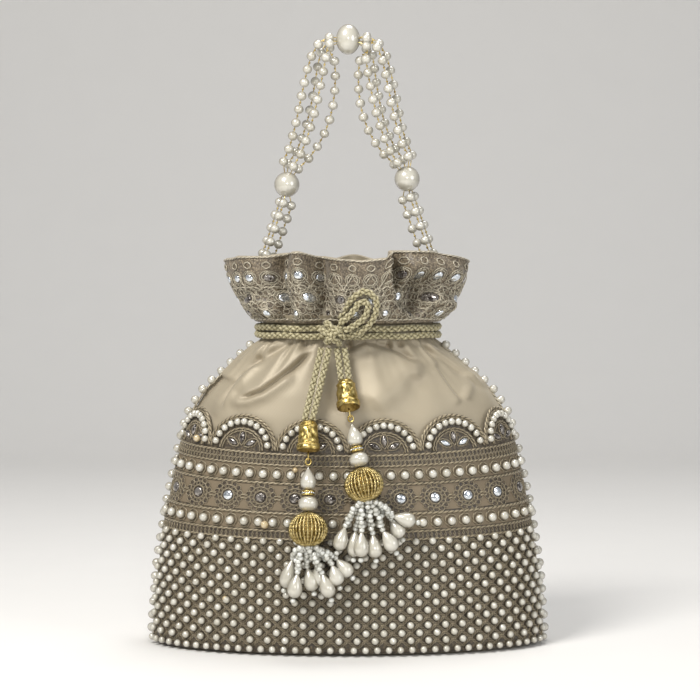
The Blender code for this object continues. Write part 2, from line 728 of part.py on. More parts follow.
def build_tassel(side):
    """Bell cap, wire link, beads and bead strings of one tassel."""
    top, axis, mouth = cap_axis(side)
    cap = Shape()
    bell = ((0, 0.5), (0.18, 0.62), (0.6, 0.86), (1, 1))
    turned(cap, [(CAP_HEIGHT * t, CAP_MOUTH / 2 * r) for t, r in bell], 8, top, axis)
    place(side + "_bell_cap", cap, "gold", Matrix.Translation(top))
    link_start = mouth + axis * 2 * GAP
    sway = pivot(side + "_link_sway", Matrix.Translation(link_start))
    link_end, hang = hang_line(side, link_start)
    link = Shape()
    oval = [(0, 0.4 * LINK_WIDTH), (LINK_LENGTH / 2, LINK_WIDTH / 2), (LINK_LENGTH, LINK_TIP * LINK_WIDTH)]
    turned(link, oval, 5, link_start, hang)
    place(side + "_link", link, "gold", Matrix.Translation(link_start), sway)
    swing = pivot(side + "_tassel_swing", Matrix.Translation(link_end), sway)
    along = 2 * GAP
    for name, slot, profile, sides, ribs in (
        ("_drop_pearl", "pearl", ball_profile(*DROP_PEARL, 4), 6, 0),
        ("_spacer", "gold", ball_profile(*SPACER, 2, 0, 0.5), 6, 0),
        ("_round_pearl", "pearl", ball_profile(*ROUND_PEARL, 4), 7, 0),
        ("_ribbed_bead", "gold", ball_profile(*RIBBED_BEAD, 4, 0, 0.3), 2 * RIBS, RIB_DEPTH),
    ):
        piece = Shape()
        turned(piece, profile, sides, link_end + hang * along, hang, ribs)
        place(side + name, piece, slot, Matrix.Translation(link_end + hang * along), swing)
        along += profile[-1][0] + profile[0][0] + GAP
    build_strings(side, link_end + hang * (along + GAP), swing)


def hang_line(side, start):
    """The low end of the link and the direction in which the beads hang, clear of the pouch."""
    below = LINK_LENGTH + DROP_PEARL[1] + SPACER[1] + ROUND_PEARL[1] + RIBBED_BEAD[1] / 2
    x, z = start.x + TASSELS[side]["lean"], start.z - below
    rest = Vector((x, front_of(x, z, RISE_LIMIT + RIBBED_BEAD[0] / 2 + 2 * GAP), z))
    hang = (rest - start).normalized()
    return start + hang * LINK_LENGTH, hang


def build_strings(side, start, parent):
    """Strings of small beads that leave one hub and end in teardrops."""
    fan = TASSELS[side]["fan"]
    count = len(fan)
    shape = Shape()
    rings = []
    for drop, radius in ((0, HUB_TOP), (HUB_HEIGHT, HUB_LOW)):
        angles = [math.tau * k / count + math.pi for k in range(count)]
        rings.append(shape.row(start + Vector((radius * math.cos(a), radius * math.sin(a), -drop)) for a in angles))
    shape.faces.append(tuple(rings[0]))
    shape.faces.append(tuple(reversed(rings[1])))
    order = sorted(range(count), key=lambda k: math.cos(math.tau * (k + 0.5) / count + math.pi))
    for place_in_fan, k in enumerate(order):
        corner = (k + 1) % count
        base = [rings[0][corner], rings[0][k], rings[1][k], rings[1][corner]]
        angle = math.tau * (k + 0.5) / count + math.pi
        out = Vector((math.cos(angle), math.sin(angle), 0))
        x = start.x + fan[place_in_fan] * MM
        z = NECK_HEIGHT - TASSELS[side]["reach"] + DROP_STEP * (place_in_fan % 2) + TEARDROP[1]
        end = Vector((x, front_of(x, z, RISE_LIMIT + TEARDROP[0] / 2 + 3 * GAP), z))
        if out.y < 0:
            end.y -= TEARDROP[0] + 2 * GAP
        knee = start + out * (HUB_LOW + 2 * STRING_BEAD) - Vector((0, 0, 2.2 * HUB_HEIGHT))
        line = [start + out * HUB_LOW - Vector((0, 0, HUB_HEIGHT / 2)), knee, end]
        string_rings(shape, base, line, out)
    place(side + "_tassel", shape, "crystal_beads", Matrix.Translation(start), parent)


def string_rings(shape, base, line, out):
    """Four-sided rings that turn from the hub's side down the string, with beads and a teardrop."""
    side = Vector((0, 0, 1)).cross(out)
    bead, thread = STRING_BEAD / 2, STRING_THREAD / 2
    knee, end = line[1], line[2]
    stops = [(knee, bead), (knee.lerp(end, 0.33), thread), (knee.lerp(end, 0.66), bead), (end, thread)]
    stops.append((end - Vector((0, 0, 0.65 * TEARDROP[1])), TEARDROP[0] / 2))
    stops.append((end - Vector((0, 0, TEARDROP[1])), 0.25 * TEARDROP[0]))
    before = base
    last = line[0]
    for point, radius in stops:
        direction = (point - last).normalized()
        up = direction.cross(side).normalized()
        corners = [(1, 1), (-1, 1), (-1, -1), (1, -1)]
        ring = shape.row(point + radius * (side * a + up * b) for a, b in corners)
        shape.band(before, ring)
        before, last = ring, point
    shape.faces.append(tuple(before))


def bundle_offset(number, count):
    """(in the arch's plane, front to back) of one strand of a bundle, each from -1 to 1."""
    angle = math.tau * number / count - math.pi / 2
    return math.sin(angle), math.cos(angle)


def bezier(points, t):
    a, b, c, d = points
    return a * (1 - t) ** 3 + 3 * b * t * (1 - t) ** 2 + 3 * c * t**2 * (1 - t) + d * t**3


def strand_path(route, number, count, swell):
    """Centres of a strand's beads, evenly spaced along its own line in the bundle."""
    plane, depth = bundle_offset(number, count)
    radius = BUNDLE_ROOM * STRAND_BEAD / (2 * math.sin(math.pi / count))
    outward = 1 if route[3].x > 0 else -1
    line = []
    for step in range(61):
        t = step / 60
        ahead = (bezier(route, min(t + 0.01, 1)) - bezier(route, max(t - 0.01, 0))).normalized()
        normal = Vector((-ahead.z, 0, ahead.x)) * outward
        wide = radius + swell * math.sin(math.pi * t)
        line.append(bezier(route, t) + normal * plane * wide + Vector((0, radius * depth, 0)))
    lengths = np.concatenate([[0], np.cumsum([(b - a).length for a, b in zip(line, line[1:])])])
    count = int(lengths[-1] / STRAND_PITCH) + 1
    picks = [int(np.searchsorted(lengths, lengths[-1] * k / (count - 1) - 1e-9)) for k in range(count)]
    return [line[i] for i in picks]


def pearl_side(centre, width, height, toward):
    """Where a wire that comes from a point meets the facets of a pearl."""
    direction = (toward - centre).normalized()
    across = math.hypot(direction.x, direction.y)
    radius = 0.5 / math.hypot(across / width, direction.z / height)
    return centre + direction * (STRAND_TAIL * radius + GAP)


def shoulder_place(side):
    """x and height of the middle of a shoulder pearl."""
    x, rise = SHOULDERS[side]
    return x, PIVOT_HEIGHT + rise


def upper_route(side):
    """Middle line of a bundle from the top pearl down to its shoulder pearl."""
    sign = -1 if side == "left" else 1
    x, z = shoulder_place(side)
    reach = SHOULDER_PEARL / 2 + STRAND_BEAD / 2
    end = Vector((x - sign * 2 * MM, 0, z + reach + 2.2 * GAP))
    start = Vector((sign * (TOP_PEARL[0] / 2 + STRAND_BEAD / 2 + 2 * GAP), 0, HANDLE_HEIGHT - 1.5 * MM))
    drop = start.z - end.z
    return start, start + Vector((sign * 7 * MM, 0, 0)), end + Vector((-sign * 9 * MM, 0, 0.3 * drop)), end


def lower_route(side):
    """Middle line of a bundle from its shoulder pearl down to the crimp bead in the collar."""
    sign = -1 if side == "left" else 1
    x, z = shoulder_place(side)
    start = Vector((x + sign * 1 * MM, 0, z - SHOULDER_PEARL / 2 - STRAND_BEAD / 2 - 2 * GAP))
    end = Vector((sign * PIVOT_X, 0, PIVOT_HEIGHT + CRIMP_BEAD / 2 + STRAND_BEAD / 2 + 2 * GAP))
    return start, start.lerp(end, 0.33), start.lerp(end, 0.66), end


def build_pearl(name, width, height, centre, parent, sides, steps, slot):
    shape = Shape()
    turned(shape, ball_profile(width, height, steps, -height / 2), sides, centre)
    place(name, shape, slot, Matrix.Translation(centre), parent)


def build_handle():
    """Three large pearls joined by bundles of bead strands, turning about the line through both crimp beads."""
    axis = pivot("handle_swing", Matrix.Translation((0, 0, PIVOT_HEIGHT)))
    top = Vector((0, 0, HANDLE_HEIGHT))
    build_pearl("top_pearl", *TOP_PEARL, top, axis, 8, 5, "pearl")
    for side, sign in (("left", -1), ("right", 1)):
        x, z = shoulder_place(side)
        shoulder = Vector((x, 0, z))
        crimp = Vector((sign * PIVOT_X, 0, PIVOT_HEIGHT))
        build_pearl("shoulder_pearl_" + side, SHOULDER_PEARL, SHOULDER_PEARL, shoulder, axis, 8, 5, "pearl")
        build_pearl("crimp_bead_" + side, CRIMP_BEAD, CRIMP_BEAD, crimp, axis, 6, 3, "gold")
        for name, route, count, swell, pearls in (
            ("upper_strand_", upper_route(side), UPPER_STRANDS[side], BUNDLE_SWELL,
             ((top, *TOP_PEARL), (shoulder, SHOULDER_PEARL, SHOULDER_PEARL))),
            ("lower_strand_", lower_route(side), LOWER_STRANDS, 0.0,
             ((shoulder, SHOULDER_PEARL, SHOULDER_PEARL), (crimp, CRIMP_BEAD, CRIMP_BEAD))),
        ):
            for number in range(count):
                path = strand_path(route, number, count, swell)
                ends = [pearl_side(*pearl, bead) for pearl, bead in zip(pearls, (path[0], path[-1]))]
                label = name + side + "_" + str(number + 1)
                bead_string(label, path, STRAND_BEAD, STRAND_WIRE, 4, Matrix.Translation(path[0]), axis, ends)
        build_tab(side, sign)


def build_tab(side, sign):
    """Satin tab sewn inside the neck, which carries one end of the handle."""
    high = PIVOT_HEIGHT - CRIMP_BEAD / 2 - GAP
    near, far = (lining_point(column, NECK_HIGH) for column in ring_columns(COLUMNS // 6)[1:3])
    half_width, half_thick = TAB_WIDTH / 2, TAB_THICKNESS / 2
    foot = near.x + (far.x - near.x) * (half_width - near.y) / (far.y - near.y) - GAP - half_thick
    shape = Shape()
    rows = []
    for share, width in ((0, 1), (0.8, 0.9), (1, 0.4)):
        x = foot + (PIVOT_X - foot) * share
        z = NECK_HIGH + (high - NECK_HIGH) * share
        corners = ((-half_thick, -1), (half_thick, -1), (half_thick, 1), (-half_thick, 1))
        rows.append(shape.row((sign * (x + dx), sign * half_width * width * y, z) for dx, y in corners))
    shape.faces.append(tuple(reversed(rows[0])))
    for lower, upper in zip(rows, rows[1:]):
        shape.band(lower, upper)
    shape.faces.append(tuple(rows[-1]))
    place("handle_tab_" + side, shape, "satin")


def build():
    for thing in list(bpy.data.objects):
        bpy.data.objects.remove(thing)
    build_pouch()
    build_board()
    for side in SIDES:
        build_panel(side)
    build_seam("right", 0.0)
    build_seam("left", math.pi)
    build_collar()
    build_drawstring()
    build_cords()
    for side in TASSELS:
        build_tassel(side)
    build_handle()


build()
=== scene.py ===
"""Dresses the beaded potli bag: satin, embroidered panels, collar, cords, tassels and handle."""

import math
from functools import partial

import bpy
import numpy as np
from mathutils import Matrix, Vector


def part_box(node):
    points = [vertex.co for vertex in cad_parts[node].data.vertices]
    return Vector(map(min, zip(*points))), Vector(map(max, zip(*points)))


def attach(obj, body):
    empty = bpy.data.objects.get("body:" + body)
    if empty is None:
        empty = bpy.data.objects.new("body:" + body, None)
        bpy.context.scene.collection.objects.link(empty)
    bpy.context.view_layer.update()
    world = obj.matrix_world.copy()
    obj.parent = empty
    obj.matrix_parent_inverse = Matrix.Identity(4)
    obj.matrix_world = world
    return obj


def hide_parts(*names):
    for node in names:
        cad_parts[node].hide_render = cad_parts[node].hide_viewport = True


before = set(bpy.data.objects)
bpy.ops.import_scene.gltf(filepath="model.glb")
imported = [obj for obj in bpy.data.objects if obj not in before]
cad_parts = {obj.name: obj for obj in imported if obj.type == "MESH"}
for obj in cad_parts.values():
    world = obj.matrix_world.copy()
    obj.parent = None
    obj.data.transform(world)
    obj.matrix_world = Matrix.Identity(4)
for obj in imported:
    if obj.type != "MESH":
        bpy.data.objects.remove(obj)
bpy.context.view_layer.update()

MM = 0.001
TAU = math.tau
GAP = 0.35 * MM
UP = np.array((0, 0, 1.0))

# Pouch: oval base, full belly, drawn in at the neck
BASE_WIDTH = 185.4 * MM
BASE_DEPTH = 92 * MM
CORNER_HEIGHT = 4.5 * MM
CORNER_INSET = 4.2 * MM
NECK_WIDTH = 81 * MM
NECK_DEPTH = 50 * MM
NECK_HEIGHT = 150 * MM
NECK_LOW = 146.5 * MM
NECK_HIGH = 153.5 * MM
LIP_TOP = 158 * MM
LIP_FLARE = 4 * MM
POUCH_WALL = 2.4 * MM
# How full the belly is, from 1 at the base to 0 at the neck, by the share of the height
BELLY = (
    (0, 1), (0.25, 0.948), (0.45, 0.858), (0.63, 0.749), (0.75, 0.66), (0.83, 0.52), (0.91, 0.28), (1, 0),
)
BELLY_SOFTNESS = 17  # half millimetres over which the belly's corners are rounded
NECK_PLEAT_DEPTH = 2 * MM
POUCH_COLUMNS = 620

# Folds of the satin on the front. Each has the x and height in mm of points along its line, how far
# it reaches to the left and right of that line, and how much the cloth rises on each side.
FOLD_EDGE = 0.7 * MM
FOLD_STRENGTH = 1.6
FOLDS = (
    # The deep overlap left of the knot, and the rolled lip under it
    (
        (
            (-15.4, 141.7), (-20.8, 139.1), (-27, 133.3), (-33.3, 128.4),
            (-39.5, 123.7), (-46.7, 120.8), (-52, 119),
        ),
        2, 8, -1.7, 2.2,
    ),
    (
        ((-56, 115.4), (-52.4, 117.2), (-46.7, 118.1), (-39.5, 120.8), (-33.3, 124.8), (-24, 131.6)),
        2.6, 2.6, 1.8, 1.8,
    ),
    # Folds that spread to the left seam
    (((-37.7, 136.8), (-45.8, 133.3), (-51.1, 129.3), (-55.6, 123.9), (-61.4, 114.1)), 4, 4, 1.1, -2.0),
    (((-60, 130), (-65, 120), (-70, 108)), 6, 6, -1.6, -1.6),
    (
        ((-27.9, 148.9), (-35.1, 143.5), (-44, 139.9), (-52, 136.4), (-59.1, 131), (-64.5, 127.9)),
        3.6, 3, 1.6, 1.6,
    ),
    (((-23.5, 146.2), (-28.8, 143.5), (-37.7, 139.1), (-44.9, 134.6)), 1.6, 1.6, -1.3, -1.3),
    (((-39.5, 149.8), (-46.7, 146.2), (-53.8, 140), (-60.9, 134.6)), 2, 2, -1.2, -1.2),
    (((-26.6, 149.5), (-27.5, 143.1)), 1, 1, -2, -2),
    (((-20.4, 149), (-20.8, 141.3)), 1.1, 1.1, -2, -2),
    (((-34, 150), (-37, 144.5)), 1.1, 1.1, -1.6, -1.6),
    # The hollow beside the knot and the edge of the smooth sheet right of it
    (((1.5, 147.5), (-0.7, 141.6)), 2, 2, -2.4, -2.4),
    (
        (
            (-2.1, 140), (2.4, 142.4), (8.6, 145.1), (14, 143.5),
            (20.2, 141.6), (29.1, 137.1), (37.2, 134.6),
        ),
        2.2, 6, -1.9, 1.2,
    ),
    (((19.5, 149.5), (20.2, 142.2)), 1, 1, -2.2, -2.2),
    (((24.2, 149.5), (25.6, 142.6)), 1, 1, -1.8, -1.8),
    (((13, 149.5), (13.4, 145)), 1, 1, -1.5, -1.5),
    # Folds that spread to the right seam
    (((28.2, 147.5), (36.3, 143.1), (45.2, 137.3), (55.9, 129.7), (68.4, 120.3)), 4, 2, 1.4, -0.9),
    (((36.3, 148), (49.6, 140.8), (64.8, 131)), 2.2, 2.2, -1.4, -1.4),
    (((40.3, 135.5), (45.6, 127.9), (50.5, 121.2), (55, 117.2)), 3, 4, -1.1, 1.0),
    (((55.4, 131), (58.1, 124.8), (55.4, 117.7)), 2.5, 2.5, 0.9, 0.9),
    # Broad, soft waves of the sheet
    (((36.3, 133.3), (27.3, 130.1), (18.4, 123), (11.3, 114.1)), 6, 6, 1.4, 1.4),
    (((9.5, 141.7), (12.5, 132), (11.5, 122), (7.5, 112.3)), 6.5, 6.5, 0.9, 0.9),
    (((32.5, 132), (30.5, 122), (28, 108)), 7, 7, -1.1, -1.1),
    (((-2.8, 141), (-3.4, 128), (-3, 112)), 4, 4, -1.3, -1.3),
)

# Panels. Heights of bands, ropes and rows hold at a panel's middle; the bands climb to the seams.
PANEL_WALL = 1.4 * MM
PANEL_BOTTOM = 5 * MM
PANEL_FOOT = 1.2 * MM  # the embroidery turns in under the pouch from here
SEAM_MARGIN = 4.2 * MM
BAND_RISE = 5 * MM
PLAIN_BANDS = ((58.6, 65.4), (67.3, 79.0), (80.6, 87.6))
DARK_BANDS = ((54.4, 57.8), (88.3, 93.0))
# Ropes along the bands: height and radius
BAND_ROPES = ((54.2, 0.55), (57.9, 0.6), (66.0, 0.65), (79.8, 0.65), (88.2, 0.55), (93.2, 0.6))
# Rows of lace loops: height, half height of a loop, and shift along the row
LACE_ROWS = ((56.1, 1.7, 0.25), (89.6, 1.35, 0.5), (91.7, 1.35, 0.25))
LACE_LOOPS = 92
LATTICE_TOP = 53.5 * MM
LATTICE_COLUMNS = 26
LATTICE_ROWS = 14
CELL_WIDTH = 1 / LATTICE_COLUMNS  # as a share of the panel
CELL_HEIGHT = (LATTICE_TOP - PANEL_BOTTOM) / (LATTICE_ROWS - 0.2)
LATTICE_PEARL = 3.6 * MM
FOOT_PEARL = 3.4 * MM
FOOT_PEARLS = 40
PEARL_ROWS = (62 * MM, 84 * MM)
ROW_PEARLS = 29
ROW_PEARL = 4.3 * MM
ROSETTES = 12
ROSETTE_ROW = 73 * MM
# Rosettes whose stones get the bright mirror finish as a painted glint; the others get dark stone
GLINT_ROSETTES = (2, 7, 8, 9, 10)  # on the front, counted from the left seam
PETALS = 14
SCALLOPS = 6
SCALLOP_ENDS = (0, 0.132, 0.316, 0.5, 0.684, 0.868, 1)  # shares of the panel; narrower at the seams
SCALLOP_BASE = 93.3 * MM
SCALLOP_HEIGHT = 15 * MM
CUSP_HEIGHT = 1.5 * MM
SCALLOP_TOP = SCALLOP_BASE + CUSP_HEIGHT + SCALLOP_HEIGHT
SCALLOP_ROPES = ((1.0, 0.75), (0.93, 0.5), (0.64, 0.5), (0.57, 0.35))  # share of the scallop's size, radius
SCALLOP_PEARLS = 11
SCALLOP_PEARL = 3.5 * MM
# Leaf-shaped stones of a scallop: x, y, length, width, and turn in degrees
LEAVES = ((0, 5.2, 5.4, 3.0, 90), (-4.9, 2.7, 5.6, 2.7, 158), (4.9, 2.7, 5.6, 2.7, 22))
# The scallop whose side stones get the bright mirror finish as a painted glint
GLINT_SCALLOP = 4
# Layers of a stone, from its foot to its flat top: share of its outline, and rise over the cloth in mm
LEAF_LAYERS = ((1.0, 0.05), (0.95, 0.9), (0.6, 1.3), (0.1, 1.35))
ROUND_LAYERS = ((1.0, 0.1), (1.0, 0.7), (0.7, 1.15), (0.1, 1.2))
COLLAR_LAYERS = ((1.0, 0.1), (1.0, 0.6), (0.7, 0.9), (0.1, 0.95))
DISC_LAYERS = ((1.0, 0.24), (0.66, 0.24), (0.33, 0.24), (0.02, 0.24))
# Rings of petals of a rosette: turn in petals, reach, length, width, and radius of the thread
PETAL_RINGS = ((0, 4.3, 1.9, 1.5, 0.2), (0.5, 6.15, 2.5, 2.6, 0.24))
ROSETTE_RINGS = ((3.2, 0.34), (5.1, 0.3))  # size, radius
ROSETTE_SQUASH = 0.93
# Loose beads on the front: x, height and size in mm
AMBER_BEADS = ((-38.4, 60.6, 4.0), (-24.4, 86.3, 2.6), (-70.5, 96.5, 3.6), (-57.0, 25.5, 3.0))
SEAM_PEARL = 4.5 * MM
SEAM_PITCH = 6.1 * MM
SEAM_ENDS = (143 * MM, 6.5 * MM)
SEAM_SWAY = 0.5 * MM
PIPING = 0.55 * MM  # radius

# Collar
HEM_HEIGHT = 154.3 * MM
COLLAR_WALL = 2.4 * MM
COLLAR_COLUMNS = 440
COLLAR_LENGTH = 262 * MM  # round the middle of its height
COLLAR_DEPTH = 34 * MM
COLLAR_UNITS = 33
COLLAR_LOOPS = 84
COLLAR_SCROLLS = 17
# Levels on the collar, from 0 at the hem to 1 at the rim
EDGE_ROPES = ((0.99, 0.38), (0.06, 0.5))  # level, radius
RING_LEVEL = 0.87
MIRROR_LEVEL = 0.68
ARCH_LEVEL = 0.66
BOW_PLACE = (-8, 20)  # x in mm between which the bow hides the upper mirrors
LOW_MIRRORS = ((0.37, 0.5, 2.2), (0.15, 0.0, 1.5))  # level, shift along the row, size
LOOP_ROWS = 6
LOOP_STEP = 0.09
SCROLL_ROWS = ((0.46, 0.0), (0.46, 0.5), (0.24, 0.25), (0.24, 0.75))  # level, shift along the row
RIM_HEIGHT = 187 * MM
RIM_WIDTH = 117 * MM
RIM_DEPTH = 68 * MM
RUFFLES = 7
RUFFLE_DEPTH = 7 * MM
RUFFLE_PHASE = 0.669
RIM_WAVE = 1.6 * MM
RIM_DROP = 4 * MM
RIM_FRONT_X = (-58, -50, -38, -26, -21.5, -15.5, -6, 6, 17, 19.5, 30, 39, 51, 58)
RIM_FRONT = (182.5, 185.4, 185.6, 187.6, 187.8, 185.6, 184.6, 183.6, 184.8, 188, 188.2, 188, 185.4, 182.8)
# Folds on the collar's front, given as on the satin, with heights over the hem
COLLAR_FOLDS = (
    # The left flap, its curled foot, and the valley right of it
    (((-47, 48), (-46, 32), (-41, 12)), 5, 6, 1.8, 1.8),
    (((-46, 12), (-39, 7), (-31, 4)), 3.4, 3.4, 2.6, 2.6),
    (((-30, 48), (-30, 34), (-32.5, 21), (-28, 5), (-27, -6)), 2.8, 3.6, -5.0, -5.0),
    (((-23.5, 48), (-23, 32), (-21, 10), (-20, -4)), 3.2, 3.2, 2.4, 2.4),
    # The recess, and the middle panel that stands before it
    (((-13, 48), (-13, 32), (-11, 12), (-10, -4)), 3.2, 4.6, -6.0, -6.0),
    (((-4.5, 48), (-4.5, 32), (-3, 8), (-2, -4)), 4, 2.0, 2.8, 1.8),
    (((9, 48), (9, 30), (8, 6), (8, -6)), 8, 8, 2.4, 2.4),
    (((20.5, 48), (20.5, 33), (20, 22), (23, 6)), 5.0, 3.0, -6.2, 2.8),
    # The right flap, the hollow under it and the bulge at its foot
    (((24, 27), (34, 27), (46, 24), (54, 20)), 4.5, 3.4, 2.6, 2.6),
    (((27, 20), (33, 16), (31, 9), (27, 4)), 5, 5.5, -7.0, -7.0),
    (((37, 12), (42, 9), (50, 5)), 4.0, 4.0, 3.2, 3.2),
    (((46, 48), (45, 36), (43, 30)), 3.5, 3.5, -1.6, -1.6),
)

# Cords
CORD = 3.2 * MM
CORD_PITCH = 3.6 * MM
BRAID_PITCH = 10.5 * MM
BRAID_STRANDS = 3  # each way round
KNOT_CENTRE = np.array((-7, -34.02, 150)) * MM
KNOT_TURNS = ((-38, -1.9, 5.3, 3.6), (-38, 1.9, 5.3, 3.8), (48, -0.6, 4.9, 4.3), (5, 1.0, 4.6, 3.4))
ROUTES = {
    "bow_loop_inner": (
        (-3.8, -37.2, 154.8), (-0.4, -38.6, 157.4), (2.7, -39.3, 160.7),
        (5.4, -39.1, 164.3), (9.0, -39.1, 164.0), (8.8, -39.2, 159.6),
        (6.1, -38.9, 155.9), (2.4, -38.4, 153.4), (-1.6, -37.9, 151.3),
    ),
    "bow_loop_outer": (
        (-3.5, -34.5, 156.7), (-0.8, -36.1, 162.1), (2.8, -37.8, 166.9),
        (8.1, -38.5, 169.6), (12.9, -38.5, 166.0), (13.0, -38.3, 159.9),
        (10.1, -38.0, 154.4), (5.4, -36.9, 150.6), (-0.3, -35.0, 148.7),
    ),
    "left_leg_a": ((-12.4, -34.0, 142.9), (-16.2, -39.7, 126.6), (-20.1, -45.4, 110.2)),
    "left_leg_b": ((-8.8, -34.0, 142.9), (-12.6, -39.7, 126.6), (-16.5, -45.4, 110.2)),
    "right_leg_a": ((-5.2, -34.0, 142.9), (-4.1, -37.6, 135.8), (-3.1, -40.7, 128.6)),
    "right_leg_b": ((-1.6, -34.0, 142.9), (-0.5, -37.6, 135.8), (0.5, -40.7, 128.6)),
}

# Tassels
CAPS = {
    "left": ((-18.3, -45.62, 109.5), (-18.3, -49.44, 96.55)),
    "right": ((-1.2, -41.03, 128.0), (0.34, -47.22, 116.1)),
}
CAP_MOUTH = 10.6 * MM
CAP_HEIGHTS = (0, 0, 0.03, 0.1, 0.25, 0.45, 0.65, 0.78, 0.84, 0.93, 1.0)
CAP_WIDTHS = (0.3, 0.56, 0.66, 0.73, 0.8, 0.86, 0.9, 0.91, 0.99, 1.03, 0.99)
LINK_LENGTH = 6.4 * MM
LINK_RINGS = ((1.9, 2.1, 1.2), (4.55, 1.5, 1.25))  # below the cap, half length, half width
LINK_WIRE = 0.38 * MM  # radius
DROP_PEARL = (7.4 * MM, 10.6 * MM)
SPACER = ((0, 1.2), (0.05, 2.9), (0.7, 3.1), (0.85, 2.6), (1.6, 2.6), (1.75, 3.1), (2.35, 2.9), (2.4, 1.2))
SPACER_LENGTH = 2.4 * MM
BEAD_GAP = 0.1 * MM
ROUND_PEARL = (9.4 * MM, 7.5 * MM)
ROUND_MIDDLE = 3.7 * MM  # from its upper end
RIBBED_BEAD = (18 * MM, 16 * MM)
BEAD_RIBS = 28
STRINGS_START = 38.2 * MM  # below the link
SEED_BEAD = (2.85 * MM, 2.5 * MM)
TEARDROP = 7.1 * MM
DROP_OUT = 9 * MM  # from the pouch's plain side to the middle of the nearest teardrops
# Teardrops of each tassel: x and height of top and of tip in mm, and how far they hang before the nearest
DROPS = {
    "left": (
        (-25.9, 45.3, -29.3, 32.9, 0), (-23.4, 39.4, -25.1, 28.9, 4.2), (-18.5, 41.8, -15.9, 31.9, 1.0),
        (-11.5, 39.4, -8.0, 29.4, 4.0), (-4.6, 45.8, 1.4, 38.8, 0), (-7.0, 43.3, -4.1, 34.9, 3.0),
        (-14.0, 44.0, -12.5, 34.0, 0),
    ),
    "right": (
        (-1.6, 60.6, -4.8, 50.7, 1.5), (6.3, 58.7, 6.0, 47.9, 4.5), (3.4, 58.8, 2.6, 47.4, 0),
        (11.6, 57.2, 12.8, 47.2, 2.0), (16.7, 59.1, 21.7, 50.7, 4.0), (20.7, 63.6, 24.7, 56.2, 0),
        (21.7, 66.1, 31.1, 63.6, 2.5),
    ),
}

# Handle
HANDLE_HEIGHT = 289 * MM
TOP_PEARL = (11.6 * MM, 14.6 * MM)
SHOULDER_PEARL = 12.2 * MM
SHOULDERS = {"left": (-29.3 * MM, 219.8 * MM), "right": (28.3 * MM, 222.5 * MM)}
UPPER_STRANDS = {"left": 4, "right": 5}
LOWER_STRANDS = 3
STRAND_BEAD = 4.7 * MM
STRAND_PITCH = 6.4 * MM
BUNDLE_ROOM = 1.25
BUNDLE_SWELL = 2.0 * MM
BUNDLE_TURN = 0.35  # so that every strand shows from the front
HANDLE_LEAN = 1.6 * MM  # the bundles hang inward of their middle line
STRAND_SAG = (4.2 * MM, 1.6 * MM)  # the two inner strands are longer and hang free
PIVOT_X = 38.5 * MM
PIVOT_HEIGHT = 181 * MM
CRIMP_BEAD = 4 * MM
WIRE = 0.22 * MM  # radius
WIRE_BEAD = (1.1 * MM, 1.0 * MM)
TAB_WIDTH = 8 * MM
TAB_THICKNESS = 2.2 * MM

# What the camera sees, taken from the photograph's perspective
CAMERA_PLACE = (0.96 * MM, -1.2, 0.2)
CAMERA_PITCH = 2.84  # degrees down
CAMERA_LENS = 128.57
STAGE_COLOUR = (0.74, 0.725, 0.7)
# Lamps: place, height aimed at, size, power and colour
LAMPS = {
    "key": ((-0.45, -0.6, 0.95), 0.12, 0.42, 11.5, (1.0, 0.98, 0.95)),
    "fill": ((0.95, -0.85, 0.45), 0.12, 0.7, 3.6, (0.97, 0.98, 1.0)),
    "front": ((0.08, -1.15, 0.46), 0.13, 0.1, 2.2, (1.0, 0.99, 0.97)),
    "top": ((0.15, 0.2, 1.2), 0.1, 0.6, 6.0, (1.0, 1.0, 1.0)),
}
WORLD_COLOUR = (0.9, 0.92, 0.95, 1)
WORLD_STRENGTH = 0.36

BAG = "bag"


def new_thing(name, data):
    thing = bpy.data.objects.new(name, data)
    bpy.context.scene.collection.objects.link(thing)
    return thing


def make_camera():
    data = bpy.data.cameras.new("view")
    data.lens = CAMERA_LENS
    camera = new_thing("view", data)
    camera.location = CAMERA_PLACE
    camera.rotation_euler = (math.radians(90 - CAMERA_PITCH), 0, 0)
    bpy.context.scene.camera = camera


make_camera()


# Materials

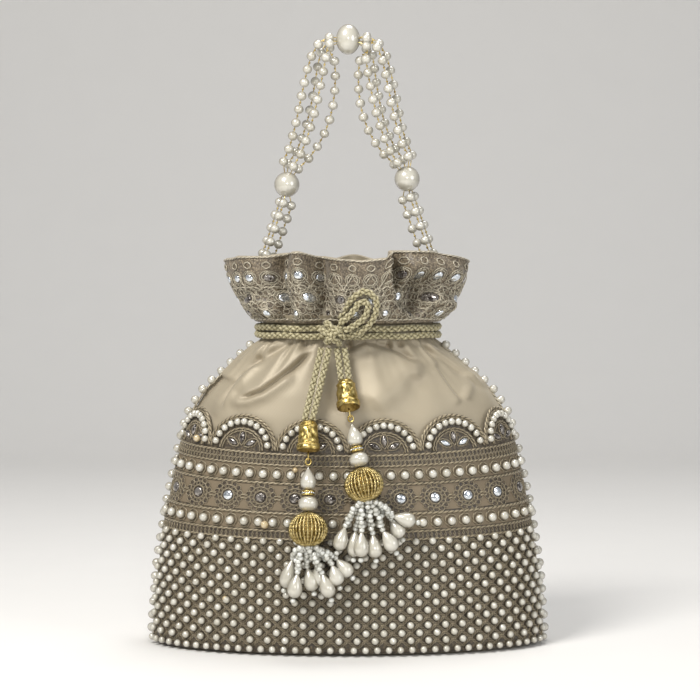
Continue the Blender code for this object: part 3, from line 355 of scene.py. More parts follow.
class Nodes:
    """One Principled material and short ways to add nodes to it."""

    def __init__(self, name):
        self.material = bpy.data.materials.new(name)
        self.material.use_nodes = True
        self.tree = self.material.node_tree
        place = self.add("TexCoord")
        self.uv, self.solid = place["UV"], place["Object"]

    def put(self, socket, value):
        """Gives a socket another node's output, or a value."""
        if isinstance(value, bpy.types.NodeSocket):
            self.tree.links.new(value, socket)
        elif socket.type == "RGBA":
            socket.default_value = (*value, 1)
        else:
            socket.default_value = value

    def add(self, kind, settings=(), **inputs):
        """The outputs of a new node; an input goes by its name, or by i and its number."""
        node = self.tree.nodes.new("ShaderNode" + kind)
        for key, value in dict(settings).items():
            setattr(node, key, value)
        for key, value in inputs.items():
            self.put(node.inputs[int(key[1:]) if key[1:].isdigit() else key], value)
        return node.outputs

    def ramp(self, factor, *stops):
        """Colours that change with the factor; a stop is a position and a colour."""
        node = self.tree.nodes.new("ShaderNodeValToRGB")
        self.put(node.inputs[0], factor)
        elements = node.color_ramp.elements
        while len(elements) < len(stops):
            elements.new(0.5)
        for element, (position, colour) in zip(elements, stops):
            element.position = position
            element.color = (*colour, 1)
        return node.outputs["Color"]

    def mix(self, factor, a, b, kind="MIX"):
        return self.add("Mix", {"data_type": "RGBA", "blend_type": kind}, i0=factor, i6=a, i7=b)[2]

    def calc(self, operation, a, b=0.0):
        return self.add("Math", {"operation": operation}, i0=a, i1=b)[0]

    def total(self, *terms):
        """The sum of outputs, each times its weight."""
        parts = [self.calc("MULTIPLY", value, weight) for value, weight in terms]
        result = parts[0]
        for part in parts[1:]:
            result = self.calc("ADD", result, part)
        return result

    def cloud(self, scale, detail=4.0):
        return self.add("TexNoise", Vector=self.solid, Scale=scale, Detail=detail, Roughness=0.55)["Fac"]

    def cells(self, scale):
        return self.add("TexVoronoi", {"feature": "F1"}, Vector=self.solid, Scale=scale)

    def along_and_round(self):
        """UV as metres along a thread and the share of the way round it."""
        parts = self.add("SeparateXYZ", Vector=self.uv)
        return parts["X"], parts["Y"]

    def wave(self, kind, value):
        """Sine or cosine of a value, moved to 0..1."""
        return self.add("MapRange", i0=self.calc(kind, value), i1=-1.0, i2=1.0)[0]

    def span(self, value, low, high):
        return self.add("MapRange", i0=value, i3=low, i4=high)[0]

    def finish(self, colour, roughness, relief=None, **values):
        """Gives the shader its values; a relief is a height, a strength and a depth in mm."""
        values.update(Base_Color=colour, Roughness=roughness)
        if relief:
            height, strength, depth = relief
            values["Normal"] = self.add("Bump", Height=height, Strength=strength, Distance=depth * MM)[0]
        shader = self.tree.nodes["Principled BSDF"]
        for key, value in values.items():
            self.put(shader.inputs[key.replace("_", " ")], value)
        return self.material


def satin(name, colour, sheen):
    """Satin with a fine twill line, soft sheen, and slight changes of tone."""
    nodes = Nodes(name)
    bands = {"wave_type": "BANDS", "bands_direction": "DIAGONAL"}
    twill = nodes.add("TexWave", bands, Vector=nodes.uv, Scale=620.0, Distortion=1.5, Detail=1.0)["Fac"]
    warp = nodes.cloud(2600.0, 2.0)
    thread = nodes.total((twill, 0.6), (warp, 0.4))
    dim, pale = [c * 0.93 for c in colour], [min(1, c * 1.05) for c in colour]
    tone = nodes.ramp(nodes.cloud(28.0, 3.0), (0.3, dim), (0.7, pale))
    weave = nodes.ramp(thread, (0.2, (0.86,) * 3), (0.75, (1.0,) * 3))
    woven = nodes.mix(1.0, tone, weave, "MULTIPLY")
    return nodes.finish(
        woven, nodes.span(warp, 0.46, 0.58), (thread, 0.22, 0.15), Metallic=0.2, Sheen_Weight=sheen,
        Sheen_Roughness=0.35, Sheen_Tint=(1.0, 0.93, 0.8), Specular_IOR_Level=0.5,
    )


def net(name, low, high, scale):
    """A ground of tiny sewn beads and thread; each bead is painted paler at its middle as a highlight, and
    darker towards the thread between, partly as painted shade.
    """
    nodes = Nodes(name)
    tone = nodes.cloud(400.0, 3.0)
    # Beads paler at their middles are a painted highlight; the dark between them is partly thread and partly
    # painted shade
    bead = nodes.calc("SUBTRACT", 1.0, nodes.cells(scale)["Distance"])
    level = nodes.total((bead, 0.6), (tone, 0.5))
    colour = nodes.ramp(level, (0.35, low), (0.62, [(a + b) / 2.4 for a, b in zip(low, high)]), (0.85, high))
    roughness = nodes.span(tone, 0.3, 0.6)
    return nodes.finish(colour, roughness, (level, 0.7, 0.5), Sheen_Weight=0.15, Specular_IOR_Level=0.6)


def twist(name, low, high, pitch):
    """Twisted thread: stripes that wind round the rope's own length, near black in the grooves as painted
    shade and pale on the turns as painted highlight.
    """
    nodes = Nodes(name)
    along, around = nodes.along_and_round()
    groove_shade = nodes.wave("SINE", nodes.total((along, TAU / pitch), (around, TAU * 2)))
    tone = nodes.cloud(900.0, 2.0)
    level = nodes.total((groove_shade, 0.7), (tone, 0.35))
    # Painted shade in the grooves and painted highlight on the turns; the same level also drives the bump
    colour = nodes.ramp(level, (0.12, low), (0.5, high))
    roughness = nodes.span(tone, 0.28, 0.5)
    return nodes.finish(colour, roughness, (level, 0.8, 0.25), Metallic=0.25, Sheen_Weight=0.1)


def plait(name, gap_shade, body, crest_highlight):
    """Cord strands with painted shade where they dip under each other and a painted highlight on their
    crests, with fine threads along them.
    """
    nodes = Nodes(name)
    along, around = nodes.along_and_round()
    over = nodes.wave("COSINE", nodes.calc("MULTIPLY", along, TAU))
    ply = nodes.wave("SINE", nodes.total((around, TAU * 5), (along, 9.0)))
    fuzz = nodes.cloud(1500.0, 3.0)
    level = nodes.total((over, 0.6), (ply, 0.2), (fuzz, 0.25))
    # Painted shade in the gaps and a painted highlight on the crests of the strands
    colour = nodes.ramp(level, (0.15, gap_shade), (0.5, body), (0.95, crest_highlight))
    relief = (nodes.calc("ADD", ply, fuzz), 0.5, 0.12)
    return nodes.finish(colour, nodes.span(fuzz, 0.35, 0.6), relief, Metallic=0.15, Sheen_Weight=0.2)


def pearly(name, colour, shade, edge):
    """Glossy beads with cloudy nacre and a clear coat; each differs a little, and painted shade darkens each
    at its rim.
    """
    nodes = Nodes(name)
    each = nodes.add("NewGeometry")["Random Per Island"]
    body = nodes.ramp(nodes.total((each, 0.6), (nodes.cloud(260.0), 0.5)), (0.2, shade), (0.75, colour))
    # Painted shade: the rim colour is mixed in more where the bead turns away from view
    facing = nodes.add("LayerWeight", Blend=0.5)["Facing"]
    rim = nodes.calc("MULTIPLY", nodes.calc("POWER", facing, 1.3), 0.95)
    roughness = nodes.span(nodes.cloud(700.0), 0.26, 0.36)
    return nodes.finish(
        nodes.mix(rim, body, edge), roughness, (nodes.cloud(900.0), 0.03, 0.1), Coat_Weight=1.0,
        Coat_Roughness=0.07, Coat_IOR=2.0, Specular_IOR_Level=0.9,
    )


def metal(name, low, high, roughness=0.3):
    """Gold whose tone changes with a fine noise, with fine wear in its roughness."""
    nodes = Nodes(name)
    tone = nodes.cloud(500.0, 5.0)
    wear = nodes.span(tone, roughness * 0.7, roughness * 1.4)
    return nodes.finish(nodes.ramp(tone, (0.35, low), (0.6, high)), wear, (tone, 0.25, 0.2), Metallic=1.0)


def stone(name, low, high, metallic):
    """Foiled glass: facets that differ in tone."""
    nodes = Nodes(name)
    grey = nodes.add("SeparateXYZ", Vector=nodes.cells(900.0)["Color"])["X"]
    colour, roughness = nodes.ramp(grey, (0.1, low), (0.9, high)), nodes.span(grey, 0.06, 0.16)
    return nodes.finish(
        colour, roughness, (grey, 0.3, 0.2), Metallic=metallic, Coat_Weight=0.8, Coat_Roughness=0.05
    )


def fibre_board(name, low, high):
    nodes = Nodes(name)
    fibre = nodes.cloud(600.0, 5.0)
    colour = nodes.ramp(fibre, (0.3, low), (0.7, high))
    return nodes.finish(colour, nodes.span(fibre, 0.7, 0.9), (fibre, 0.4, 0.2))


def backdrop_paper(name, colour):
    nodes = Nodes(name)
    tone = nodes.ramp(nodes.cloud(30.0), (0.3, colour), (0.7, [c * 1.01 for c in colour]))
    return nodes.finish(tone, 0.8, Specular_IOR_Level=0.2)


SATIN = satin("satin_twill", (0.4, 0.343, 0.246), 0.25)
LINING = satin("lining_satin", (0.4, 0.325, 0.225), 0.1)
STRIP = satin("plain_strip", (0.22, 0.172, 0.11), 0.12)
NET = net("beaded_net", (0.028, 0.019, 0.01), (0.17, 0.128, 0.07), 900.0)
DARK_NET = net("dark_net", (0.025, 0.017, 0.01), (0.165, 0.122, 0.074), 900.0)
COLLAR_CLOTH = net("collar_net", (0.06, 0.043, 0.026), (0.36, 0.29, 0.19), 1100.0)
# The first colour of each thread is painted shade for the grooves of its twist
THREAD = twist("silver_thread", (0.04, 0.028, 0.017), (0.54, 0.485, 0.37), 2.6 * MM)
FINE_THREAD = twist("fine_thread", (0.045, 0.032, 0.02), (0.52, 0.465, 0.35), 1.8 * MM)
PANEL_THREAD = twist("panel_thread", (0.033, 0.023, 0.012), (0.345, 0.288, 0.19), 2.6 * MM)
PANEL_FINE = twist("panel_fine_thread", (0.036, 0.025, 0.013), (0.355, 0.298, 0.198), 1.8 * MM)
# The cord's first and last colours are painted shade in the gaps and painted highlight on the crests
BRAID = plait("cord_thread", (0.04, 0.03, 0.01), (0.2, 0.165, 0.075), (0.56, 0.51, 0.32))
# The last colour of each bead finish is the painted shade at its rim
PEARL = pearly("pearl", (0.61, 0.585, 0.5), (0.47, 0.44, 0.35), (0.12, 0.095, 0.06))
AMBER = pearly("amber_bead", (0.62, 0.5, 0.28), (0.5, 0.34, 0.14), (0.2, 0.12, 0.04))
CRYSTAL = pearly("crystal", (0.74, 0.75, 0.7), (0.48, 0.47, 0.4), (0.22, 0.2, 0.15))
GOLD = metal("chased_gold", (0.33, 0.22, 0.045), (0.7, 0.545, 0.21))
# A darker gold that paints the shade inside the bell caps and inside the ribbed beads
GOLD_PAINTED_SHADE = metal("gold_painted_shade", (0.16, 0.1, 0.025), (0.4, 0.28, 0.09), 0.45)
BRASS = metal("ribbed_brass", (0.24, 0.17, 0.045), (0.6, 0.485, 0.23))
MIRROR = stone("mirror_glass", (0.55, 0.6, 0.66), (0.92, 0.95, 0.98), 0.9)
STONE = stone("dark_stone", (0.05, 0.04, 0.035), (0.36, 0.33, 0.3), 0.6)
BOARD = fibre_board("board_fibre", (0.3, 0.23, 0.15), (0.45, 0.36, 0.25))
PAPER = backdrop_paper("paper", STAGE_COLOUR)


# Meshes from grids of points

def unit(vectors):
    return vectors / np.maximum(np.linalg.norm(vectors, axis=-1, keepdims=True), 1e-12)


class Grids:
    """Grids of points gathered into one mesh; face corners carry metres along and a share across."""

    def __init__(self):
        self.points, self.corners, self.sizes, self.uvs, self.slots = [], [], [], [], []
        self.count = 0

    def add(self, grid, across=True, along=False, caps=False, slot=0, lengths=None, widths=None):
        """Takes a grid of the shape (copies, rows, columns, 3), closed across or along where said."""
        grid = np.asarray(grid, float)
        if grid.ndim == 3:
            grid = grid[None]
        copies, rows, columns = grid.shape[:3]
        i = np.arange(rows if along else rows - 1)[:, None]
        j = np.arange(columns if across else columns - 1)[None, :]
        low, high = i * columns, (i + 1) % rows * columns
        left, right = j, (j + 1) % columns
        quads = np.stack([low + left, low + right, high + right, high + left], -1).reshape(-1, 4)
        starts = self.count + np.arange(copies) * rows * columns
        self.corners.append((quads[None] + starts[:, None, None]).ravel())
        self.sizes.append(np.full(copies * len(quads), 4))
        if lengths is None:
            steps = np.linalg.norm(np.diff(grid[:, :, 0], axis=1), axis=-1)
            lengths = np.concatenate([np.zeros((copies, 1)), np.cumsum(steps, axis=1)], axis=1)
            if along:
                lengths = np.concatenate([lengths, lengths[:, -1:] + steps.mean(1, keepdims=True)], axis=1)
        lengths = np.broadcast_to(lengths, (copies, rows + 1 if along else lengths.shape[-1]))
        if widths is None:
            widths = np.linspace(0, 1, columns + 1 if across else columns)
        u = np.stack([lengths[:, i], lengths[:, i], lengths[:, i + 1], lengths[:, i + 1]], -1)
        v = np.stack([widths[j], widths[j + 1], widths[j + 1], widths[j]], -1)
        shape = (copies, i.size, j.size, 4)
        pair = [np.broadcast_to(u, shape), np.broadcast_to(v[None], shape)]
        self.uvs.append(np.stack(pair, -1).reshape(-1, 2))
        if caps:
            for row, order in ((0, -1), (rows - 1, 1)):
                ring = row * columns + np.arange(columns)[::order]
                self.corners.append((ring[None] + starts[:, None]).ravel())
                self.sizes.append(np.full(copies, columns))
                self.uvs.append(np.zeros((copies * columns, 2)))
        self.slots.append(np.full(copies * (len(quads) + (2 if caps else 0)), slot))
        self.points.append(grid.reshape(-1, 3))
        self.count += grid.size // 3
        return self

    def thing(self, name, materials):
        """The mesh as an object in the scene."""
        mesh = bpy.data.meshes.new(name)
        corners, sizes = np.concatenate(self.corners), np.concatenate(self.sizes)
        mesh.vertices.add(self.count)
        mesh.loops.add(len(corners))
        mesh.polygons.add(len(sizes))
        mesh.vertices.foreach_set("co", np.concatenate(self.points).ravel())
        mesh.loops.foreach_set("vertex_index", corners)
        mesh.polygons.foreach_set("loop_start", np.concatenate([[0], np.cumsum(sizes)[:-1]]))
        mesh.polygons.foreach_set("material_index", np.concatenate(self.slots))
        mesh.uv_layers.new(name="UVMap").data.foreach_set("uv", np.concatenate(self.uvs).ravel())
        mesh.update(calc_edges=True)
        mesh.shade_smooth()
        for material in materials:
            mesh.materials.append(material)
        return new_thing(name, mesh)

    def make(self, name, slot, *materials, replaces=None, body=BAG):
        """The piece, which rides on a body and may stand for a solid."""
        thing = self.thing(name, materials)
        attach(thing, body)
        if replaces:
            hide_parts(replaces)
        return thing


def tubes(paths, normals, radius, sides, closed=False):
    """Rings of points round paths of the shape (copies, rows, 3)."""
    if closed:
        ahead = unit(np.roll(paths, -1, axis=1) - np.roll(paths, 1, axis=1))
    else:
        ahead = unit(np.gradient(paths, axis=1))
    side = unit(np.cross(ahead, np.broadcast_to(normals, paths.shape)))
    up = np.cross(side, ahead)
    angles = TAU * np.arange(sides) / sides
    ring = np.cos(angles)[:, None] * up[:, :, None] + np.sin(angles)[:, None] * side[:, :, None]
    return paths[:, :, None] + np.reshape(radius, np.shape(radius) + (1,) * (4 - np.ndim(radius))) * ring


def add_ring(grids, path, normals, radius, sides):
    grids.add(tubes(path[None], np.broadcast_to(normals, path.shape)[None], radius, sides, True), along=True)


def balls(centres, axes, width, height, sides, rings, flat=0.25):
    """Beads whose small flat ends lie across their axes."""
    centres = np.atleast_2d(centres)
    axes = np.broadcast_to(unit(np.atleast_2d(axes)), centres.shape)
    helper = np.where(np.abs(axes[:, 2:3]) > 0.9, np.array([[1.0, 0, 0]]), UP[None])
    across = unit(np.cross(axes, helper))
    other = np.cross(axes, across)
    tilt = flat + (math.pi - 2 * flat) * np.arange(rings) / (rings - 1)
    angles = TAU * np.arange(sides) / sides
    width, height = np.broadcast_to(width, len(centres)), np.broadcast_to(height, len(centres))
    out = np.cos(angles)[:, None] * across[:, None] + np.sin(angles)[:, None] * other[:, None]
    ring = width[:, None, None, None] / 2 * np.sin(tilt)[None, :, None, None] * out[:, None]
    rise = height[:, None, None] / 2 * -np.cos(tilt)[None, :, None] * axes[:, None]
    return centres[:, None, None] + rise[:, :, None] + ring


def turned(start, axis, profile, sides, relief=None):
    """A round piece from (distance along the axis, radius) pairs, as one grid; relief adds to the radius."""
    profile = np.asarray(profile, float)
    across = unit(np.cross(axis, (1.0, 0, 0) if abs(axis[2]) > 0.9 else UP))
    other = np.cross(axis, across)
    angles = TAU * np.arange(sides) / sides
    radius = np.repeat(profile[:, 1:2], sides, axis=1)
    if relief is not None:
        radius = radius + relief(profile[:, 0:1], angles[None])
    out = np.cos(angles)[:, None] * across + np.sin(angles)[:, None] * other
    return start + profile[:, 0][:, None, None] * axis + radius[..., None] * out[None]


def circle(count, wide, tall):
    angle = TAU * np.arange(count) / count
    return wide * np.cos(angle), tall * np.sin(angle)


def lengths_along(points):
    return np.concatenate([[0], np.cumsum(np.linalg.norm(np.diff(points, axis=0), axis=1))])


def spaced(points, step, extra=1, least=1):
    """Points at even steps, from the start of a line to its end."""
    lengths = lengths_along(points)
    at = np.linspace(0, lengths[-1], max(least, int(lengths[-1] / step) + extra))
    return np.stack([np.interp(at, lengths, points[:, k]) for k in range(3)], 1)


def smooth_path(points, step):
    """Points at even steps along a smooth curve through the given ones."""
    points = np.asarray(points, float)
    ends = np.concatenate([[2 * points[0] - points[1]], points, [2 * points[-1] - points[-2]]])
    t = np.linspace(0, 1, 24, endpoint=False)[:, None]
    dense = [
        (2 * b + (c - a) * t + (2 * a - 5 * b + 4 * c - d) * t**2 + (3 * b - a - 3 * c + d) * t**3) / 2
        for a, b, c, d in zip(ends, ends[1:], ends[2:], ends[3:])
    ]
    return spaced(np.concatenate(dense + [points[-1:]]), step, 0, 8)


# Shapes that the pouch, panels and collar share with the solids

def belly_table():
    heights = np.arange(-10, 200, 0.5) * MM
    full = np.interp(heights / NECK_LOW, *zip(*BELLY))
    kernel = np.hanning(BELLY_SOFTNESS + 2)[1:-1]
    padded = np.pad(full, BELLY_SOFTNESS // 2, mode="edge")
    return heights, np.convolve(padded, kernel / kernel.sum(), "valid")


BELLY_TABLE = belly_table()


def half_sizes(height):
    """Half width and half depth of the plain pouch at heights."""
    height = np.asarray(height, float)
    full = np.interp(height, *BELLY_TABLE)
    low = np.clip(1 - height / CORNER_HEIGHT, 0, 1)
    inset = CORNER_INSET * (1 - np.sqrt(1 - low**2))
    flare = LIP_FLARE * np.clip((height - NECK_HIGH) / (LIP_TOP - NECK_HIGH), 0, None)
    wide = NECK_WIDTH / 2 + (BASE_WIDTH - NECK_WIDTH) / 2 * full
    deep = NECK_DEPTH / 2 + (BASE_DEPTH - NECK_DEPTH) / 2 * full
    return wide - inset + flare, deep - inset + flare


def arc_table():
    """Angles round half of the bag and how far along it each lies, as a share and at its end in metres."""
    wide, deep = half_sizes(ROSETTE_ROW)
    angles = np.linspace(0, math.pi, 721)
    lengths = lengths_along(np.stack([wide * np.cos(angles), deep * np.sin(angles)], 1))
    return angles, lengths / lengths[-1], lengths[-1]


ARC_ANGLES, ARC_SHARES, HALF_PERIMETER = arc_table()
PANEL_LENGTH = HALF_PERIMETER - 2 * SEAM_MARGIN


def side_angle(side, u):
    """Angle round the bag at u, which runs from 0 to 1 across a panel."""
    margin = SEAM_MARGIN / HALF_PERIMETER
    turn = 0 if side == "back" else math.pi
    return turn + np.interp(margin + u * (1 - 2 * margin), ARC_SHARES, ARC_ANGLES)


def share_angle(share):
    """Angle at a share of the whole way round the bag."""
    share = np.asarray(share, float) % 1
    half = np.floor(share * 2)
    return half * math.pi + np.interp(share * 2 - half, ARC_SHARES, ARC_ANGLES)


def oval(angle, height, sizes, out=0.0):
    wide, deep = sizes
    c, s = np.cos(angle), np.sin(angle)
    nx, ny = c / wide, s / deep
    length = np.hypot(nx, ny)
    x, y = wide * c + nx / length * out, deep * s + ny / length * out
    return np.stack(np.broadcast_arrays(x, y, height), -1)


def lifted(here, aside, above, rise):
    """Points moved out of a surface, and the normals there, from neighbours on it."""
    normal = unit(np.cross(aside - here, above - here))
    return here + normal * np.asarray(rise)[..., None], normal


def on_panel(side, u, height, rise=0.0):
    """Points so far over a panel's face, and the normals there."""
    climb = np.where(height > PANEL_BOTTOM, BAND_RISE * height / SCALLOP_TOP * (2 * u - 1) ** 2, 0)
    z = height + climb
    angle, sizes = side_angle(side, u), half_sizes(z)
    out, step = GAP + PANEL_WALL, 0.3 * MM
    above = oval(angle, z + step, half_sizes(z + step), out)
    return lifted(oval(angle, z, sizes, out), oval(angle + 0.004, z, sizes, out), above, rise)


def fold_rise(x, z, points, left, right, low, high):
    """How far one fold moves the cloth at x and z; low is on the left of its line and high on the right."""
    points = np.array(points) * MM
    starts = lengths_along(points)
    best = np.full(x.shape, 1.0)
    side, along = np.zeros(x.shape), np.zeros(x.shape)
    for start, end, length, before in zip(points, points[1:], np.diff(starts), starts):
        direction = (end - start) / length
        dx, dz = x - start[0], z - start[1]
        run = np.clip(dx * direction[0] + dz * direction[1], 0, length)
        offset = np.hypot(dx - run * direction[0], dz - run * direction[1])
        nearer = offset < best
        best = np.where(nearer, offset, best)
        side = np.where(nearer, np.sign(direction[0] * dz - direction[1] * dx), side)
        along = np.where(nearer, before + run, along)
    fade = min(max(0.18 * starts[-1], 0.7 * max(left, right) * MM), 0.5 * starts[-1])
    window = np.clip(along / fade, 0, 1) * np.clip((starts[-1] - along) / fade, 0, 1)
    window = window * window * (3 - 2 * window)
    on_left = low * MM * np.exp(-((best / (left * MM)) ** 2))
    on_right = high * MM * np.exp(-((best / (right * MM)) ** 2))
    blend = 0.5 + 0.5 * np.tanh(side * best / FOLD_EDGE)
    return FOLD_STRENGTH * window * (on_left * blend + on_right * (1 - blend))


# Satin pouch

def cloth_rise(share, height, x, front):
    """Pleats all round under the neck, calmer on the front, which has its own folds."""
    near = np.interp(height, (0.122, 0.136, 0.1445, 0.149, 0.158), (0, 0.35, 1, 0.8, 0.5))
    wander = share + 0.004 * np.sin(TAU * 5 * share + 1) + 0.003 * np.sin(TAU * 11 * share)
    puckers = np.cos(TAU * 34 * wander) + 0.4 * np.cos(TAU * 51 * wander + 2)
    calm = np.where(front, np.interp(x, (-0.045, -0.012, -0.004, 0.014, 0.03), (0.7, 0.6, 0.2, 0.2, 0.7)), 1)
    folds = np.cos(TAU * 24 * wander + 1.2 * np.sin(TAU * 7 * share)) + 0.35 * np.cos(TAU * 17 * share)
    broad = np.interp(height, (0.108, 0.128, 0.144, 0.15), (0, 1, 0.8, 0))
    calm_folds = np.interp(x, (-0.02, 0.0, 0.016), (0.25, 0.1, 0.15))
    spread = np.where(front, calm_folds, 1.0) * np.interp(height, (0.09, 0.116), (0, 1))
    sag = 0.7 * MM * np.sin(TAU * 5 * share + 0.6) * np.interp(height, (0.09, 0.12, 0.145), (0, 1, 0))
    return 1.3 * MM * near * calm * puckers + 1.5 * MM * broad * spread * folds + sag


def pouch_surface(share, height, out=0.0):
    angle, sizes = share_angle(share), half_sizes(height)
    plain = oval(angle, height, sizes)
    front = plain[..., 1] < 0
    rise = cloth_rise(share, height, plain[..., 0], front)
    for fold in FOLDS:
        rise = rise + np.where(front, fold_rise(plain[..., 0], height, *fold), 0)
    tight = np.interp(height, (NECK_LOW - 3 * MM, NECK_LOW, NECK_HIGH, LIP_TOP), (1, 0.25, 0.25, 0.6))
    return oval(angle, height, sizes, rise * tight + out)


def joined(*ranges):
    """Heights of rows that follow each other; a range is its start, its end and a count."""
    rows = [np.linspace(*one)[number > 0:] for number, one in enumerate(ranges)]
    return np.concatenate(rows)[:, None]


def build_pouch():
    """The satin outside, its lining, the lip between them and both bottoms."""
    share = np.linspace(0, 1, POUCH_COLUMNS, endpoint=False)[None]
    outside = joined((0, CORNER_HEIGHT, 6), (CORNER_HEIGHT, 90 * MM, 12), (90 * MM, LIP_TOP, 92))
    inside = joined((LIP_TOP, 110 * MM, 12), (110 * MM, POUCH_WALL, 6))
    widths = np.linspace(0, 0.5, POUCH_COLUMNS + 1)
    outer, inner = pouch_surface(share, outside), pouch_surface(share, inside, -POUCH_WALL)
    cloth = Grids()
    cloth.add(outer, lengths=outside[:, 0], widths=widths)
    cloth.add(np.stack([outer[-1], inner[0]]), lengths=np.array((0, POUCH_WALL)), widths=widths)
    cloth.add(inner, slot=1, lengths=LIP_TOP - inside[:, 0], widths=widths)
    for ring, slot in ((outer[0][::-1], 0), (inner[-1], 1)):
        centre = ring.mean(0)
        rings = [centre + (ring - centre) * part for part in (1.0, 0.7, 0.35, 0.01)]
        cloth.add(np.stack(rings), slot=slot)
    cloth.make("satin_bag", "satin", SATIN, LINING, replaces="satin_pouch")


# Embroidery

class Ground:
    """Cloth with two coordinates of its own, u and v, on which threads, pearls and stones are sewn."""

    def __init__(self, surface, length, depth):
        """surface(u, v, rise) gives points and normals; length and depth are one unit of u and of v."""
        self.surface, self.length, self.depth = surface, length, depth
        self.ropes, self.fine = Grids(), Grids()

    def about(self, centres, x, y):
        """Outlines x, y in mm about each centre (u, v)."""
        centres = np.reshape(centres, (-1, 2))
        return centres[:, :1] + x * MM / self.length, centres[:, 1:] + y * MM / self.depth

    def line(self, grids, u, v, rise, radius, closed=False, sides=5):
        path, normals = self.surface(u, v, rise * MM)
        grids.add(tubes(path, normals, radius * MM, sides, closed), along=closed, caps=not closed)

    def outline(self, grids, centres, x, y, rise, radius, closed=True, sides=4):
        self.line(grids, *self.about(centres, x, y), rise, radius, closed, sides)

    def stud(self, grids, centre, x, y, layers, middle=(0, 0), caps=True):
        """A stone from its outline, drawn smaller about its middle; a layer is a share and a rise in mm."""
        rings = []
        for share, rise in layers:
            smaller = [at + (value - at) * share for value, at in zip((x, y), middle)]
            u, v = self.about(centre, *smaller)
            rings.append(self.surface(u, v, rise * MM)[0][0])
        grids.add(np.stack(rings), caps=caps)


def evenly(count, v, shift=0.5):
    """Centres (u, v) at even steps along u."""
    return np.stack([(np.arange(count) + shift) / count, np.full(count, v)], 1)


def scallop_edge(phase, share=1.0):
    """Height of a scallop above the row below it, drawn smaller about its foot by a share."""
    phase = np.clip(phase, 0, 1)
    return CUSP_HEIGHT * share + SCALLOP_HEIGHT * share * np.sqrt(4 * phase * (1 - phase))


def scallop_u(number):
    """Place along the panel of a point in or between scallops, counted in scallops from the seam."""
    return np.interp(number, np.arange(SCALLOPS + 1), SCALLOP_ENDS)


PANEL_U = np.linspace(0, 1, 241)[None]


def band_strips(surface, bands, rows, rise):
    strips = Grids()
    for low, high in bands:
        heights = np.linspace(low, high, rows)[:, None] * MM
        strips.add(surface(PANEL_U, heights + 0 * PANEL_U, rise * MM)[0], across=False)
    return strips


def build_net(side, ground):
    """The net with its scalloped edge, plain strips behind the pearls and dark ones behind the lace."""
    heights = joined((PANEL_FOOT, PANEL_BOTTOM, 6), (PANEL_BOTTOM, SCALLOP_BASE, 34))
    edge = scallop_edge(np.interp(PANEL_U, SCALLOP_ENDS, np.arange(SCALLOPS + 1)) % 1)
    lobes = SCALLOP_BASE + np.linspace(0, 1, 8)[1:, None] * edge
    surface = ground.surface
    rows = (
        surface(PANEL_U, PANEL_FOOT + 0 * PANEL_U, -PANEL_WALL), surface(PANEL_U, heights + 0 * PANEL_U),
        surface(PANEL_U + 0 * lobes, lobes), surface(PANEL_U, SCALLOP_BASE + edge, -PANEL_WALL),
    )
    sheet = Grids().add(np.concatenate([points for points, _ in rows]), across=False)
    sheet.make(side + "_net", "embroidery", NET, replaces="panel_" + side)
    band_strips(surface, PLAIN_BANDS, 5, 0.12).make(side + "_strips", "embroidery", STRIP)
    dark = band_strips(surface, DARK_BANDS, 3, 0.1)
    for middle in evenly(ROSETTES, ROSETTE_ROW):
        ground.stud(dark, middle, *circle(24, 7.1, 6.6), DISC_LAYERS, caps=False)
    dark.make(side + "_dark_net", "embroidery", DARK_NET)


def add_lattice_threads(ground):
    """Two threads beside each other along every diagonal between the pearls."""
    steps = np.arange(2 * LATTICE_ROWS + 2) / 2
    height = PANEL_BOTTOM + (steps - 0.3) * CELL_HEIGHT
    for slant in (0.5, -0.5):
        for start in np.arange(-LATTICE_ROWS, LATTICE_COLUMNS + LATTICE_ROWS) + 0.5:
            u = (start + slant * steps) * CELL_WIDTH
            inside = (u >= 0) & (u <= 1) & (height <= LATTICE_TOP)
            if inside.sum() > 2:
                for apart in (-0.5, 0.5):
                    beside = u[inside][None] + apart * MM / PANEL_LENGTH
                    ground.line(ground.fine, beside, height[inside][None], 0.2, 0.3, sides=4)


def arc_spread(count):
    """Phases of a scallop at equal steps along its edge."""
    phase = np.linspace(0, 1, 400)
    lengths = lengths_along(np.stack([(phase - 0.5) * 36, scallop_edge(phase) / MM], 1))
    return np.interp((np.arange(count) + 0.5) / count * lengths[-1], lengths, phase)


def panel_pearls():
    """Place (u, height) and size of each pearl: lattice, foot, two rows, and the scallops' arches."""
    pearls = []
    for row in range(LATTICE_ROWS):
        height, shift = PANEL_BOTTOM + (row + 0.7) * CELL_HEIGHT, 0.5 + 0.5 * (row % 2)
        for column in range(LATTICE_COLUMNS - row % 2):
            pearls.append(((column + shift) * CELL_WIDTH, height, LATTICE_PEARL))
    pearls += [(u, height, FOOT_PEARL) for u, height in evenly(FOOT_PEARLS, 3.4 * MM)]
    for row in PEARL_ROWS:
        pearls += [(u, height, ROW_PEARL) for u, height in evenly(ROW_PEARLS, row - 0.2 * MM)]
    for number in range(SCALLOPS):
        for phase in arc_spread(SCALLOP_PEARLS):
            height = SCALLOP_BASE + scallop_edge(phase, 0.79) + 0.6 * MM
            pearls.append((scallop_u(number + 0.5 + (phase - 0.5) * 0.79), height, SCALLOP_PEARL))
    return np.array(pearls)


